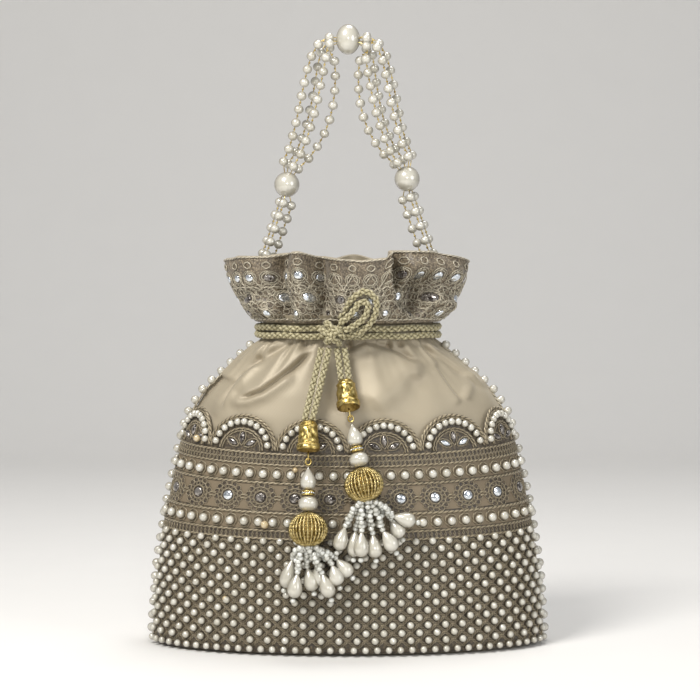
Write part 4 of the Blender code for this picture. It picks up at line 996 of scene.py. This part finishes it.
def build_leaves(side, ground):
    """Three leaf-shaped stones in each scallop, outlined with thread."""
    dark, bright = Grids(), Grids()
    angle = TAU * np.arange(14) / 14
    for number in range(SCALLOPS):
        foot = (scallop_u(number + 0.5), SCALLOP_BASE + CUSP_HEIGHT)
        for x, y, length, wide, turn in LEAVES:
            turn = math.radians(turn)
            lx = length / 2 * np.cos(angle)
            ly = wide / 2 * np.sin(angle) * (1 - 0.35 * np.abs(np.cos(angle)))
            px = x + lx * math.cos(turn) - ly * math.sin(turn)
            py = y + lx * math.sin(turn) + ly * math.cos(turn)
            # Painted glint: the chosen stones get the bright mirror finish, the others dark stone
            painted_glint = side == "front" and number == GLINT_SCALLOP and x != 0
            ground.stud(bright if painted_glint else dark, foot, px, py, LEAF_LAYERS, (x, y))
            ground.outline(ground.fine, foot, x + (px - x) * 1.32, y + (py - y) * 1.4, 0.3, 0.36)
    dark.make(side + "_leaf_stones", "crystal_beads", STONE)
    if bright.count:
        bright.make(side + "_bright_stones", "crystal_beads", MIRROR)


def build_rosettes(side, ground):
    """Rosettes of looped petals round a stone, joined by short ropes."""
    middles = evenly(ROSETTES, ROSETTE_ROW)
    petal = TAU * np.arange(9) / 9
    for shift, reach, long, wide, radius in PETAL_RINGS:
        turn = TAU * (np.arange(PETALS) + shift)[:, None] / PETALS
        outward, sideways = reach + long / 2 * np.cos(petal), wide / 2 * np.sin(petal)
        x = outward * np.cos(turn) - sideways * np.sin(turn)
        y = (outward * np.sin(turn) + sideways * np.cos(turn)) * ROSETTE_SQUASH
        for middle in middles:
            ground.outline(ground.fine, middle, x, y, 0.35, radius)
    for reach, radius in ROSETTE_RINGS:
        x, y = circle(18, reach, ROSETTE_SQUASH * reach)
        ground.outline(ground.ropes, middles, x, y, 0.5, radius, sides=5)
    mirrors, plain = Grids(), Grids()
    for number, middle in enumerate(middles):
        # Painted glint: the chosen rosettes get the bright mirror finish, the others dark stone
        painted_glint = number in GLINT_ROSETTES if side == "front" else number % 3
        ground.stud(mirrors if painted_glint else plain, middle, *circle(18, 2.35, 2.2), ROUND_LAYERS)
    mirrors.make(side + "_round_mirrors", "crystal_beads", MIRROR)
    plain.make(side + "_round_stones", "crystal_beads", STONE)
    joins = np.arange(1, ROSETTES)[:, None] / ROSETTES
    u = joins + (np.linspace(0, 1, 6) - 0.5) * 3.4 * MM / PANEL_LENGTH
    for shift in (-0.7, 0.7):
        ground.line(ground.ropes, u, ROSETTE_ROW + shift * MM + 0 * u, 0.35, 0.45)


def build_amber_beads():
    """Loose amber beads, each at an x and a height on the front."""
    beads = Grids()
    u = np.linspace(0, 1, 151)
    for x, height, size in np.array(AMBER_BEADS) * MM:
        spots = on_panel("front", u, height + 0 * u)[0][:, 0]
        order = np.argsort(spots)
        place = np.interp(x, spots[order], u[order])
        centre, normal = on_panel("front", np.array([place]), np.array([height]), size * 0.4)
        beads.add(balls(centre, normal, size, size, 14, 8), caps=True)
    beads.make("front_amber_beads", "pearl", AMBER)


def build_panel(side):
    """One embroidered panel with all that is sewn on it."""
    ground = Ground(partial(on_panel, side), PANEL_LENGTH, 1)
    build_net(side, ground)
    u = np.linspace(0, 1, 151)[None]
    for height, radius in BAND_ROPES:
        ground.line(ground.ropes, u, height * MM + 0 * u, 0.35, radius)
    for height, tall, shift in LACE_ROWS:
        centres = evenly(LACE_LOOPS, height * MM, shift)
        ground.outline(ground.fine, centres, *circle(10, 1.45, tall), 0.3, 0.24)
    add_lattice_threads(ground)
    for height in PEARL_ROWS:
        ground.outline(ground.ropes, evenly(ROW_PEARLS, height), *circle(16, 2.75, 2.85), 0.4, 0.42)
    phase = 0.5 - 0.5 * np.cos(math.pi * np.linspace(0, 1, 33))[None]
    for share, radius in SCALLOP_ROPES:
        u = scallop_u(np.arange(SCALLOPS)[:, None] + 0.5 + (phase - 0.5) * share)
        ground.line(ground.ropes, u, SCALLOP_BASE + scallop_edge(phase, share) + 0 * u, 0.35, radius)
    build_leaves(side, ground)
    build_rosettes(side, ground)
    if side == "front":
        build_amber_beads()
    ground.ropes.make(side + "_ropes", "embroidery", PANEL_THREAD)
    ground.fine.make(side + "_fine_threads", "embroidery", PANEL_FINE)
    u, height, size = panel_pearls().T
    centres, normals = on_panel(side, u, height, size * 0.36)
    beads = Grids().add(balls(centres, normals, size, size * 0.94, 10, 6), caps=True)
    beads.make(side + "_pearls", "pearl", PEARL)


def build_seam(side, angle):
    """Pearls sewn down a side seam, on a fine cord."""
    heights = np.linspace(*SEAM_ENDS, 400)
    seam = partial(oval, angle + 0 * heights, heights, half_sizes(heights))
    centres = spaced(seam(GAP + SEAM_PEARL / 2), SEAM_PITCH)
    centres[:, 1] += SEAM_SWAY * np.sin(np.arange(len(centres)) * 2.4)
    pearls = balls(centres, np.gradient(centres, axis=0), SEAM_PEARL, SEAM_PEARL * 0.95, 14, 9)
    beads = Grids().add(pearls, caps=True)
    beads.make("seam_beads_" + side, "pearl", PEARL, replaces="seam_pearls_" + side)
    line = seam(GAP + 0.5 * MM)[::3]
    piping = Grids()
    for shift in (-0.9, 0.9):
        offset = line + np.array((0, shift * MM, 0))
        piping.add(tubes(offset[None], (0.0, 1.0, 0.0), PIPING, 5), caps=True)
    piping.make("seam_piping_" + side, "embroidery", THREAD)


# Collar

def ruffle(share):
    wave = TAU * RUFFLES * (share - RUFFLE_PHASE)
    return np.cos(wave + 0.25 * np.sin(wave))


def collar_surface(share, level):
    angle = share_angle(share)
    ahead = np.clip(-2.5 * np.sin(angle), 0, 1)
    rim = RIM_HEIGHT + RIM_WAVE * ruffle(share) - RIM_DROP * np.cos(angle) ** 4
    rim = rim - 3 * MM * np.clip(2 * np.sin(angle), 0, 1)
    rim_line = oval(angle, RIM_HEIGHT, (RIM_WIDTH / 2 - COLLAR_WALL, RIM_DEPTH / 2 - COLLAR_WALL))
    rim = rim * (1 - ahead) + ahead * MM * np.interp(rim_line[..., 0] / MM, RIM_FRONT_X, RIM_FRONT)
    height = HEM_HEIGHT + (rim - HEM_HEIGHT) * level
    wide, deep = half_sizes(np.minimum(height, LIP_TOP))
    grow = np.clip((height - LIP_TOP) / (rim - LIP_TOP), 0, 1)
    flare = np.sin(grow * math.pi / 2)
    start = 0.5 * NECK_PLEAT_DEPTH + GAP
    wide = wide + start + flare * (RIM_WIDTH / 2 - COLLAR_WALL - wide - start)
    deep = deep + start + flare * (RIM_DEPTH / 2 - COLLAR_WALL - RUFFLE_DEPTH / 4 - deep - start)
    gather = 0.5 * MM * np.cos(TAU * 34 * share) * np.interp(level, (0, 0.1, 0.45), (0.4, 1, 0))
    wave = RUFFLE_DEPTH / 2 * grow * ruffle(share) + 0.9 * MM * grow * np.cos(TAU * 16 * share + 1)
    plain = oval(angle, height, (wide, deep))
    folds = sum(fold_rise(plain[..., 0], height - HEM_HEIGHT, *fold) for fold in COLLAR_FOLDS)
    folds = folds * ahead * np.interp(height - HEM_HEIGHT, (0, 7 * MM), (0.4, 1))
    return oval(angle, height, (wide, deep), 1.6 * MM + wave * (1 - 0.8 * ahead) + gather + folds)


def on_collar(share, level, rise=0.0):
    """Points over the collar's cloth and the normals there; level runs from the hem (0) to the rim (1)."""
    aside, above = collar_surface(share + 0.0015, level), collar_surface(share, level + 0.01)
    return lifted(collar_surface(share, level), aside, above, rise)


def build_collar_cloth():
    share = np.linspace(0, 1, COLLAR_COLUMNS, endpoint=False)[None]
    level = np.linspace(0, 1, 26)[:, None]
    outer, inner = on_collar(share, level)[0], on_collar(share, level[::-1], -1.3 * MM)[0]
    lip = np.stack([outer[-1], (outer[-1] + inner[0]) / 2 + np.array((0, 0, 0.5 * MM)), inner[0]])
    hem = np.stack([inner[-1], outer[0]])
    widths = np.linspace(0, 0.28, COLLAR_COLUMNS + 1)
    cloth = Grids()
    grids = ((outer, 0, COLLAR_DEPTH), (lip, 1, 2 * MM), (inner, 1, COLLAR_DEPTH), (hem, 1, MM))
    for grid, slot, depth in grids:
        cloth.add(grid, slot=slot, lengths=np.linspace(0, depth, len(grid)), widths=widths)
    cloth.make("collar_cloth", "collar_border", COLLAR_CLOTH, SATIN, replaces="collar")


def build_collar():
    """The collar's cloth with its ropes, rings, arches, mirrors, loops and scrolls."""
    build_collar_cloth()
    ground = Ground(on_collar, COLLAR_LENGTH, COLLAR_DEPTH)
    ropes, fine = ground.ropes, ground.fine
    around = np.linspace(0, 1, 400, endpoint=False)[None]
    for level, radius in EDGE_ROPES:
        ground.line(ropes, around, level + 0 * around, 0.3, radius, True)
    mirrors, stones = Grids(), Grids()

    def set_stone(centre, size, bright):
        ground.stud(mirrors if bright else stones, centre, *circle(14, size, size), COLLAR_LAYERS)

    # Under the rim: small rings, each over a pointed arch that holds a mirror
    rise = np.linspace(0, 1, 14)
    arch_x, arch_y = 1.95 * (1 + np.cos(math.pi * rise)), 9.6 * rise - 5.2
    ground.outline(ropes, evenly(COLLAR_UNITS, RING_LEVEL, 0), *circle(14, 1.6, 1.6), 0.3, 0.36)
    middles = evenly(COLLAR_UNITS, MIRROR_LEVEL, 0)
    ground.outline(fine, middles, *circle(14, 3.3, 3.5), 0.3, 0.28)
    ground.outline(ropes, middles, *circle(14, 2.5, 2.7), 0.3, 0.36)
    for hand in (-1, 1):
        ground.outline(ropes, evenly(COLLAR_UNITS, ARCH_LEVEL, 0), hand * arch_x, arch_y, 0.3, 0.34, False)
    for number, middle in enumerate(middles):
        x, y, _ = on_collar(middle[0], 0.7)[0] / MM
        if not (y < 0 and BOW_PLACE[0] < x < BOW_PLACE[1]):
            set_stone(middle, 1.8, number % 4)
    # Larger mirrors lower down
    for level, shift, size in LOW_MIRRORS:
        middles = evenly(COLLAR_SCROLLS, level, shift)
        for number, middle in enumerate(middles):
            set_stone(middle, size, number % 3)
        for grids, reach, radius in ((ropes, size + 0.7, 0.42), (fine, size + 1.6, 0.3)):
            ground.outline(grids, middles, *circle(14, reach, reach), 0.3, radius)
    # Chained loops that fill the ground
    for row in range(LOOP_ROWS):
        middles = evenly(COLLAR_LOOPS, LOOP_STEP + LOOP_STEP * row, 0.5 * (row % 2))
        turn = TAU * middles[:, :1]
        x, y = circle(9, *[1.5 + 0.35 * np.sin(turn * (11 + 3 * row) + row)] * 2)
        ground.outline(fine, middles, x, y + 0.5 * np.sin(turn * 9 + 2 * row), 0.3, 0.25)
    # Scrolls that curl away on both sides
    t = np.linspace(0, 1, 16)
    spin, size = 0.4 + 5.2 * t, 3.4 * (1 - 0.72 * t)
    for level, shift in SCROLL_ROWS:
        middles = evenly(COLLAR_SCROLLS, level, shift)
        for hand in (-1, 1):
            x = hand * (3.0 - size * np.cos(spin))
            ground.outline(ropes, middles, x, size * np.sin(spin), 0.3, 0.4, False)
    ropes.make("collar_ropes", "collar_border", THREAD)
    fine.make("collar_fine_threads", "collar_border", FINE_THREAD)
    mirrors.make("collar_mirrors", "crystal_beads", MIRROR)
    stones.make("collar_stones", "crystal_beads", STONE)


# Braided cords

def frames(path):
    """Directions along an open path and a normal that turns as little as it can."""
    ahead = unit(np.gradient(path, axis=0))
    normals = [Vector(ahead[0]).orthogonal().normalized()]
    for before, after in zip(ahead, ahead[1:]):
        turn = Vector(before).rotation_difference(Vector(after))
        normals.append((turn @ normals[-1]).normalized())
    return ahead, np.array(normals)


def closed_frames(path, outward=None):
    """Directions along a closed path, and normals to it near the outward or else the level ones."""
    ahead = unit(np.roll(path, -1, axis=0) - np.roll(path, 1, axis=0))
    outward = np.cross(ahead, UP) if outward is None else outward
    return ahead, unit(outward - (outward * ahead).sum(-1, keepdims=True) * ahead)


def add_braid(cord, path, ahead, normal, wind, closed=False):
    """Strands that wind both ways round a path, over and under each other."""
    other = np.cross(ahead, normal)
    radius = CORD / 2
    for hand in (-1, 1):
        lift = radius * (0.46 + 0.22 * hand * np.cos(BRAID_STRANDS * wind))
        angle = hand * wind[None] + TAU * np.arange(BRAID_STRANDS)[:, None] / BRAID_STRANDS
        out = np.cos(angle)[..., None] * normal + np.sin(angle)[..., None] * other
        cycles = BRAID_STRANDS * wind / TAU + (0.5 if hand < 0 else 0)
        if closed:
            cycles = np.append(cycles, cycles[-1] + cycles[1] - cycles[0])
        strand = tubes(path + lift[:, None] * out, out, radius * 0.43, 6, closed)
        cord.add(strand, along=closed, caps=not closed, lengths=cycles)


def build_drawstring():
    """Two closed cords round the neck and the wound knot."""
    out = NECK_PLEAT_DEPTH / 2 + GAP + CORD / 2
    share = np.linspace(0, 1, 460, endpoint=False)
    for name, side in (("upper", 1), ("lower", -1)):
        height = NECK_HEIGHT + side * CORD_PITCH / 2 + 0.25 * MM * np.sin(TAU * 9 * share + side)
        path = oval(share_angle(share), height, half_sizes(NECK_HEIGHT), out)
        along = lengths_along(path)
        total = along[-1] * len(path) / (len(path) - 1)
        cord = Grids()
        add_braid(cord, path, *closed_frames(path), TAU * round(total / BRAID_PITCH) * along / total, True)
        cord.make("string_" + name, "cord_braid", BRAID, replaces="drawstring_" + name)
    knot = Grids()
    turn = np.linspace(0, TAU, 60, endpoint=False)
    for tilt, offset, wide, deep in KNOT_TURNS:
        tilt = math.radians(tilt)
        run = np.array((math.cos(tilt), 0, math.sin(tilt)))
        middle = KNOT_CENTRE + np.array((-math.sin(tilt), 0, math.cos(tilt))) * offset * MM
        aside = np.sin(turn)[:, None] * np.array((0, deep, 0))
        loop = middle + (np.cos(turn)[:, None] * run * wide + aside) * MM
        add_braid(knot, loop, *closed_frames(loop, loop - KNOT_CENTRE), 3 * turn, True)
    knot.make("string_knot", "cord_braid", BRAID, replaces="drawstring_knot")


def build_cords():
    """Bow loop and legs; each starts in the knot and ends in the knot or a bell cap."""
    for name, route in ROUTES.items():
        path = smooth_path(np.array(route) * MM, 0.42 * MM)
        along = lengths_along(path)
        strands = Grids()
        add_braid(strands, path, *frames(path), TAU * along / BRAID_PITCH)
        piece = strands.make(name + "_braid", "cord_braid", BRAID, replaces=name)


# Tassels

def bell_relief(height):
    """Petals, veins, rings and a milled edge, by the distance along a cap and the angle round it."""
    def relief(along, angle):
        level = along / height
        band = np.exp(-(((level - 0.46) / 0.2) ** 4))
        petals = np.cos(6 * angle) * np.cos(math.pi * (level - 0.46) / 0.26)
        veins = 0.5 * np.cos(18 * angle + 3 * np.sin(TAU * level * 3)) * np.cos(TAU * level * 4)
        rings = np.exp(-(((level - 0.15) / 0.03) ** 2)) + np.exp(-(((level - 0.8) / 0.025) ** 2))
        milling = 0.4 * np.cos(30 * angle) * np.exp(-(((level - 0.89) / 0.04) ** 2))
        return 0.5 * MM * (band * (petals + veins) * 0.7 + (rings + milling) * (along > 0))
    return relief


def build_cap(side, top, mouth):
    height, half = float(np.linalg.norm(mouth - top)), CAP_MOUTH / 2
    axis = unit(mouth - top)
    steps, knots = np.linspace(0, 1, 46), np.linspace(0, 1, len(CAP_HEIGHTS))
    levels, widths = np.interp(steps, knots, CAP_HEIGHTS), np.interp(steps, knots, CAP_WIDTHS)
    bell = np.stack([height * levels, half * widths], 1)
    inside = (
        (height, half * 0.99), (height * 0.99, half * 0.84),
        (height * 0.5, half * 0.6), (height * 0.3, 0.2 * MM),
    )
    cap = Grids()
    cap.add(turned(top, axis, bell, 72, bell_relief(height)))
    # The cap's inside takes the darker gold as painted shade
    cap.add(turned(top, axis, inside, 72), slot=1)
    cap.add(turned(top, axis, ((0, 0.1 * MM), (0, half * 0.3)), 72))
    cap.make(side + "_cap_gold", "gold", GOLD, GOLD_PAINTED_SHADE, replaces=side + "_bell_cap")


def ring_path(centre, e1, e2, a, b, count):
    x, y = circle(count, a, b)
    return centre + x[:, None] * e1 + y[:, None] * e2


def build_tassel(side):
    top, mouth = np.array(CAPS[side]) * MM
    build_cap(side, top, mouth)
    start = mouth + unit(mouth - top) * 2 * GAP
    bead_low, bead_high = (np.array(corner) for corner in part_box(side + "_ribbed_bead"))
    hang = unit((bead_low + bead_high) / 2 - start)
    across = unit(np.cross(hang, (0.0, 1.0, 0.0)))
    forward = np.cross(hang, across)
    link = Grids()
    for e2, (below, a, b) in zip((forward, across), LINK_RINGS):
        loop = ring_path(start + hang * below * MM, hang, e2, a * MM, b * MM, 24)
        add_ring(link, loop, np.cross(hang, e2), LINK_WIRE, 6)
    link.make(side + "_wire_link", "gold", GOLD, replaces=side + "_link", body=side + "_link")
    end = start + hang * LINK_LENGTH
    build_beads(side, end, hang, across, forward)
    build_strings(side, end + hang * STRINGS_START)


def teardrop(top, tip, width, sides=18):
    length = float(np.linalg.norm(tip - top))
    turn = math.pi * np.linspace(0, 1, 16)
    swell = np.sin(turn) * np.sin(turn / 2) ** 1.2 / 0.73
    radius = np.maximum(width / 2 * swell, 0.3 * MM)
    return turned(top, unit(tip - top), np.stack([length * (1 - np.cos(turn)) / 2, radius], 1), sides)


def milling(along, angle):
    return 0.08 * MM * np.cos(16 * angle) + 0 * along


def build_beads(side, end, hang, across, forward):
    """Drop pearl, spacer with a row of small stones, round pearl and ribbed bead."""
    body = side + "_tassel"
    at = end + hang * 2 * GAP
    pearl = Grids().add(teardrop(at, at + hang * DROP_PEARL[1], DROP_PEARL[0], 28), caps=True)
    pearl.make(side + "_drop", "pearl", PEARL, replaces=side + "_drop_pearl", body=body)
    at = at + hang * (DROP_PEARL[1] + BEAD_GAP)
    milled = turned(at, hang, np.array(SPACER) * MM, 32, milling)
    spacer = Grids().add(milled, caps=True)
    spacer.make(side + "_spacer_gold", "gold", GOLD, replaces=side + "_spacer", body=body)
    middle = at + hang * SPACER_LENGTH / 2
    sparkle = ring_path(middle, across, forward, 2.55 * MM, 2.55 * MM, 14)
    stones = Grids().add(balls(sparkle, sparkle - middle, 1.05 * MM, 1.0 * MM, 8, 5), caps=True)
    stones.make(side + "_spacer_stones", "crystal_beads", MIRROR, body=body)
    at = at + hang * (SPACER_LENGTH + BEAD_GAP)
    pearl = Grids().add(balls(at + hang * ROUND_MIDDLE, hang, *ROUND_PEARL, 32, 18, 0.15), caps=True)
    pearl.make(side + "_round", "pearl", PEARL, replaces=side + "_round_pearl", body=body)
    at = at + hang * (ROUND_PEARL[1] + BEAD_GAP)
    build_ribbed(side, at + hang * RIBBED_BEAD[1] / 2, hang, across, forward)


def build_ribbed(side, middle, hang, across, forward):
    """Wire ribs tied by rings round a core of darker gold that paints the shade inside, with a collar at
    each end.
    """
    wide, tall = RIBBED_BEAD[0] / 2 - 0.5 * MM, RIBBED_BEAD[1] / 2 - 0.4 * MM
    tilt = np.linspace(0.22, math.pi - 0.22, 53)[None, :, None]
    out = ring_path(0, across, forward, 1, 1, BEAD_RIBS)[:, None]
    ribs = middle + wide * np.sin(tilt) * out - tall * np.cos(tilt) * hang
    knots = 0.6 * MM * (1 + 0.3 * np.cos(np.linspace(0, TAU * 13, 53)))
    bead = Grids()
    normals = np.sin(tilt) * out - np.cos(tilt) * hang
    bead.add(tubes(ribs, normals, np.broadcast_to(knots, ribs.shape[:2]), 5), caps=True)
    for row in np.linspace(0.4, math.pi - 0.4, 8):
        reach = wide * 0.97 * math.sin(row)
        loop = ring_path(middle - tall * 0.97 * math.cos(row) * hang, across, forward, reach, reach, 44)
        add_ring(bead, loop, unit(loop - middle), 0.3 * MM, 4)
    # The core takes the darker gold as painted shade inside the openwork
    core = balls(middle, hang, 2 * (wide - 0.5 * MM), 2 * (tall - 0.4 * MM), 32, 16, 0.2)
    bead.add(core, caps=True, slot=1)
    for end in (-1, 1):
        loop = ring_path(middle + hang * end * tall * 0.98, across, forward, 2.1 * MM, 2.1 * MM, 24)
        add_ring(bead, loop, hang, 0.45 * MM, 6)
    replaced = side + "_ribbed_bead"
    bead.make(side + "_openwork_bead", "gold", BRASS, GOLD_PAINTED_SHADE, replaces=replaced, body=side + "_tassel")


def before_bag(x, height, out):
    """The point at x and height in mm that lies so far before the pouch's plain front."""
    x, height = x * MM, height * MM
    wide, deep = half_sizes(height)
    return np.array((x, -(deep + DROP_OUT) * np.sqrt(1 - (x / (wide + DROP_OUT)) ** 2) - out * MM, height))


def build_strings(side, start):
    """Strings of seed beads that end in teardrops and a last small bead."""
    seeds, drops = [], Grids()
    for number, (top_x, top_z, tip_x, tip_z, before) in enumerate(DROPS[side]):
        top, tip = before_bag(top_x, top_z, before), before_bag(tip_x, tip_z, before)
        top = top + unit(top - tip) * 1.6 * MM
        drops.add(teardrop(top, tip, TEARDROP), caps=True)
        for second in (0, 1):
            first = start + np.array(((number - 3) * 1.25, (number % 3 - 1) * 1.2 + 1.3 * second, 0.6)) * MM
            knee = (first + top) / 2 + np.array((0.05 * (top[0] - start[0]), -1.2 * MM, 0.9 * MM))
            knee = knee + second * np.array((1.1 * (-1) ** number, 1.8, -0.8)) * MM
            line = smooth_path([first, knee, top], 2.4 * MM)
            sway = (np.arange(len(line)) * 2.3 + number + second)[1:-1]
            line[1:-1, 0] += 0.45 * MM * np.sin(sway)
            line[1:-1, 1] += 0.45 * MM * np.cos(1.7 * sway)
            seeds += list(zip(line, np.gradient(line, axis=0)))
        seeds.append((tip + unit(tip - top) * 1.3 * MM, tip - top))
    drops.make(side + "_teardrops", "pearl", PEARL, replaces=side + "_tassel", body=side + "_tassel")
    centres, axes = (np.array(part) for part in zip(*seeds))
    small = Grids().add(balls(centres, axes, *SEED_BEAD, 10, 6, 0.3), caps=True)
    small.make(side + "_seed_beads", "crystal_beads", CRYSTAL, body=side + "_tassel")


# Handle

def bezier(points, t):
    a, b, c, d = points
    t = t[:, None]
    return a * (1 - t) ** 3 + 3 * b * t * (1 - t) ** 2 + 3 * c * t**2 * (1 - t) + d * t**3


def strand_line(route, number, count, swell):
    """Middle line of one strand of a bundle."""
    angle = TAU * number / count - math.pi / 2 + BUNDLE_TURN
    radius = BUNDLE_ROOM * STRAND_BEAD / (2 * math.sin(math.pi / count))
    outward = 1 if route[3][0] > 0 else -1
    t = np.linspace(0, 1, 121)
    line = bezier(route, t)
    ahead = unit(np.gradient(line, axis=0))
    normal = np.stack([-ahead[:, 2], 0 * t, ahead[:, 0]], 1) * outward
    aside = math.sin(angle) * (radius + swell * np.sin(math.pi * t))
    if swell:
        aside = aside * np.interp(t, (0, 0.3), (0.6, 1)) - HANDLE_LEAN * np.sin(math.pi * t) ** 0.8
        aside = aside - (STRAND_SAG[number] if number < 2 else 0) * np.sin(math.pi * t**1.5) ** 1.3
    return line + normal * aside[:, None] + np.array((0, radius * math.cos(angle), 0))


def handle_routes(sign, x, z):
    """Middle lines of the upper bundle, from the top pearl to a shoulder pearl, and of the lower one."""
    half = SHOULDER_PEARL / 2 + STRAND_BEAD / 2
    low = np.array((x - sign * 2 * MM, 0, z + half + 2.2 * GAP))
    high = np.array((sign * (TOP_PEARL[0] / 2 + STRAND_BEAD / 2 + 2 * GAP), 0, HANDLE_HEIGHT - 1.5 * MM))
    bend = np.array((-sign * 9 * MM, 0, 0.3 * (high[2] - low[2])))
    upper = (high, high + np.array((sign * 7 * MM, 0, 0)), low + bend, low)
    start = np.array((x + sign * 1 * MM, 0, z - half - 2 * GAP))
    end = np.array((sign * PIVOT_X, 0, PIVOT_HEIGHT + CRIMP_BEAD / 2 + STRAND_BEAD / 2 + 2 * GAP))
    return upper, (start, start + (end - start) * 0.33, start + (end - start) * 0.66, end)


def build_strand(name, line, ends):
    """Pearls at even steps, a fine gold wire through them and a tiny gold bead between each two."""
    centres = spaced(line, STRAND_PITCH)
    whole = np.concatenate([[ends[0]], centres, [ends[1]]])
    size = STRAND_BEAD * (1 + 0.03 * np.sin(np.arange(len(centres)) * 1.7))
    beads = Grids()
    beads.add(balls(centres, np.gradient(whole, axis=0)[1:-1], size, size * 0.94, 16, 10), caps=True)
    middles = (centres[1:] + centres[:-1]) / 2
    beads.add(balls(middles, np.diff(centres, axis=0), *WIRE_BEAD, 8, 6), caps=True, slot=1)
    wire = smooth_path(whole, 2.5 * MM)
    beads.add(tubes(wire[None], frames(wire)[1][None], WIRE, 6), caps=True, slot=1)
    beads.make(name.replace("strand", "pearls"), "pearl", PEARL, GOLD, replaces=name, body="handle")


def big_pearl(name, node, centre, width, height):
    pearl = Grids().add(balls(centre, UP, width, height, 40, 24, 0.1), caps=True)
    pearl.make(name, "pearl", PEARL, replaces=node, body="handle")


def build_tab(side, sign):
    """Satin loop inside the neck that holds the end of the handle."""
    low, high = (np.array(corner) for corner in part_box("handle_tab_" + side))
    foot_x, head_x = (low[0], high[0]) if sign > 0 else (high[0], low[0])
    c, s = circle(16, 1, 1)
    x_share, y_share = np.sign(c) * np.abs(c) ** 0.5, np.sign(s) * np.abs(s) ** 0.5
    rows = []
    for t in np.linspace(0, 1, 12):
        x = (foot_x + sign * 1.1 * MM) * (1 - t) + (head_x - sign * 1.1 * MM) * t
        wide = TAB_WIDTH / 2 * np.interp(t, (0, 0.8, 1), (1, 0.9, 0.4))
        height = low[2] + (high[2] - low[2]) * t
        rows.append(np.stack([x + x_share * TAB_THICKNESS / 2, y_share * wide, height + 0 * c], 1))
    tab = Grids().add(np.stack(rows), caps=True)
    tab.make("tab_satin_" + side, "satin", SATIN, replaces="handle_tab_" + side)


def build_handle():
    top = np.array((0, 0, HANDLE_HEIGHT))
    big_pearl("top_large_pearl", "top_pearl", top, *TOP_PEARL)
    for side, sign in (("left", -1), ("right", 1)):
        x, z = SHOULDERS[side]
        shoulder, crimp = np.array((x, 0, z)), np.array((sign * PIVOT_X, 0, PIVOT_HEIGHT))
        big_pearl("large_pearl_" + side, "shoulder_pearl_" + side, shoulder, SHOULDER_PEARL, SHOULDER_PEARL)
        bead = Grids().add(balls(crimp, UP, CRIMP_BEAD, CRIMP_BEAD, 24, 14), caps=True)
        bead.make("crimp_gold_" + side, "gold", GOLD, replaces="crimp_bead_" + side, body="handle")
        upper, lower = handle_routes(sign, x, z)
        for label, route, count, swell, ends in (
            ("upper", upper, UPPER_STRANDS[side], BUNDLE_SWELL, (top, shoulder)),
            ("lower", lower, LOWER_STRANDS, 0.0, (shoulder, crimp)),
        ):
            for number in range(count):
                name = f"{label}_strand_{side}_{number + 1}"
                build_strand(name, strand_line(route, number, count, swell), ends)
        build_tab(side, sign)


# Floor, backdrop and lamps

def build_stage():
    curve = [(0.9 + 0.5 * math.sin(a), 0.5 - 0.5 * math.cos(a)) for a in np.linspace(0, math.pi / 2, 16)]
    profile = [(-2.2, 0), *curve, (1.4, 2.6)]
    sheet = np.array([[(x, y, z) for x in np.linspace(-2.6, 2.6, 9)] for y, z in profile])
    Grids().add(sheet, across=False).thing("paper", (PAPER,))


def build_light():
    for name, (place, aim, size, power, colour) in LAMPS.items():
        data = bpy.data.lights.new(name, "AREA")
        data.shape = "DISK"
        data.size = size
        data.energy = power
        data.color = colour
        thing = new_thing(name, data)
        thing.location = place
        thing.rotation_euler = (Vector((0, 0, aim)) - Vector(place)).to_track_quat("-Z", "Y").to_euler()
    world = bpy.data.worlds.new("studio")
    world.use_nodes = True
    background = world.node_tree.nodes["Background"]
    background.inputs["Color"].default_value = WORLD_COLOUR
    background.inputs["Strength"].default_value = WORLD_STRENGTH
    bpy.context.scene.world = world
    bpy.context.scene.view_settings.view_transform = "Standard"


build_cords()
build_drawstring()
build_pouch()
for side in ("back", "front"):
    build_panel(side)
build_seam("right", 0.0)
build_seam("left", math.pi)
build_collar()
for side in ("left", "right"):
    build_tassel(side)
build_handle()
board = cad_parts["base_board"]
board.data.materials.clear()
board.data.materials.append(BOARD)
build_stage()
build_light()
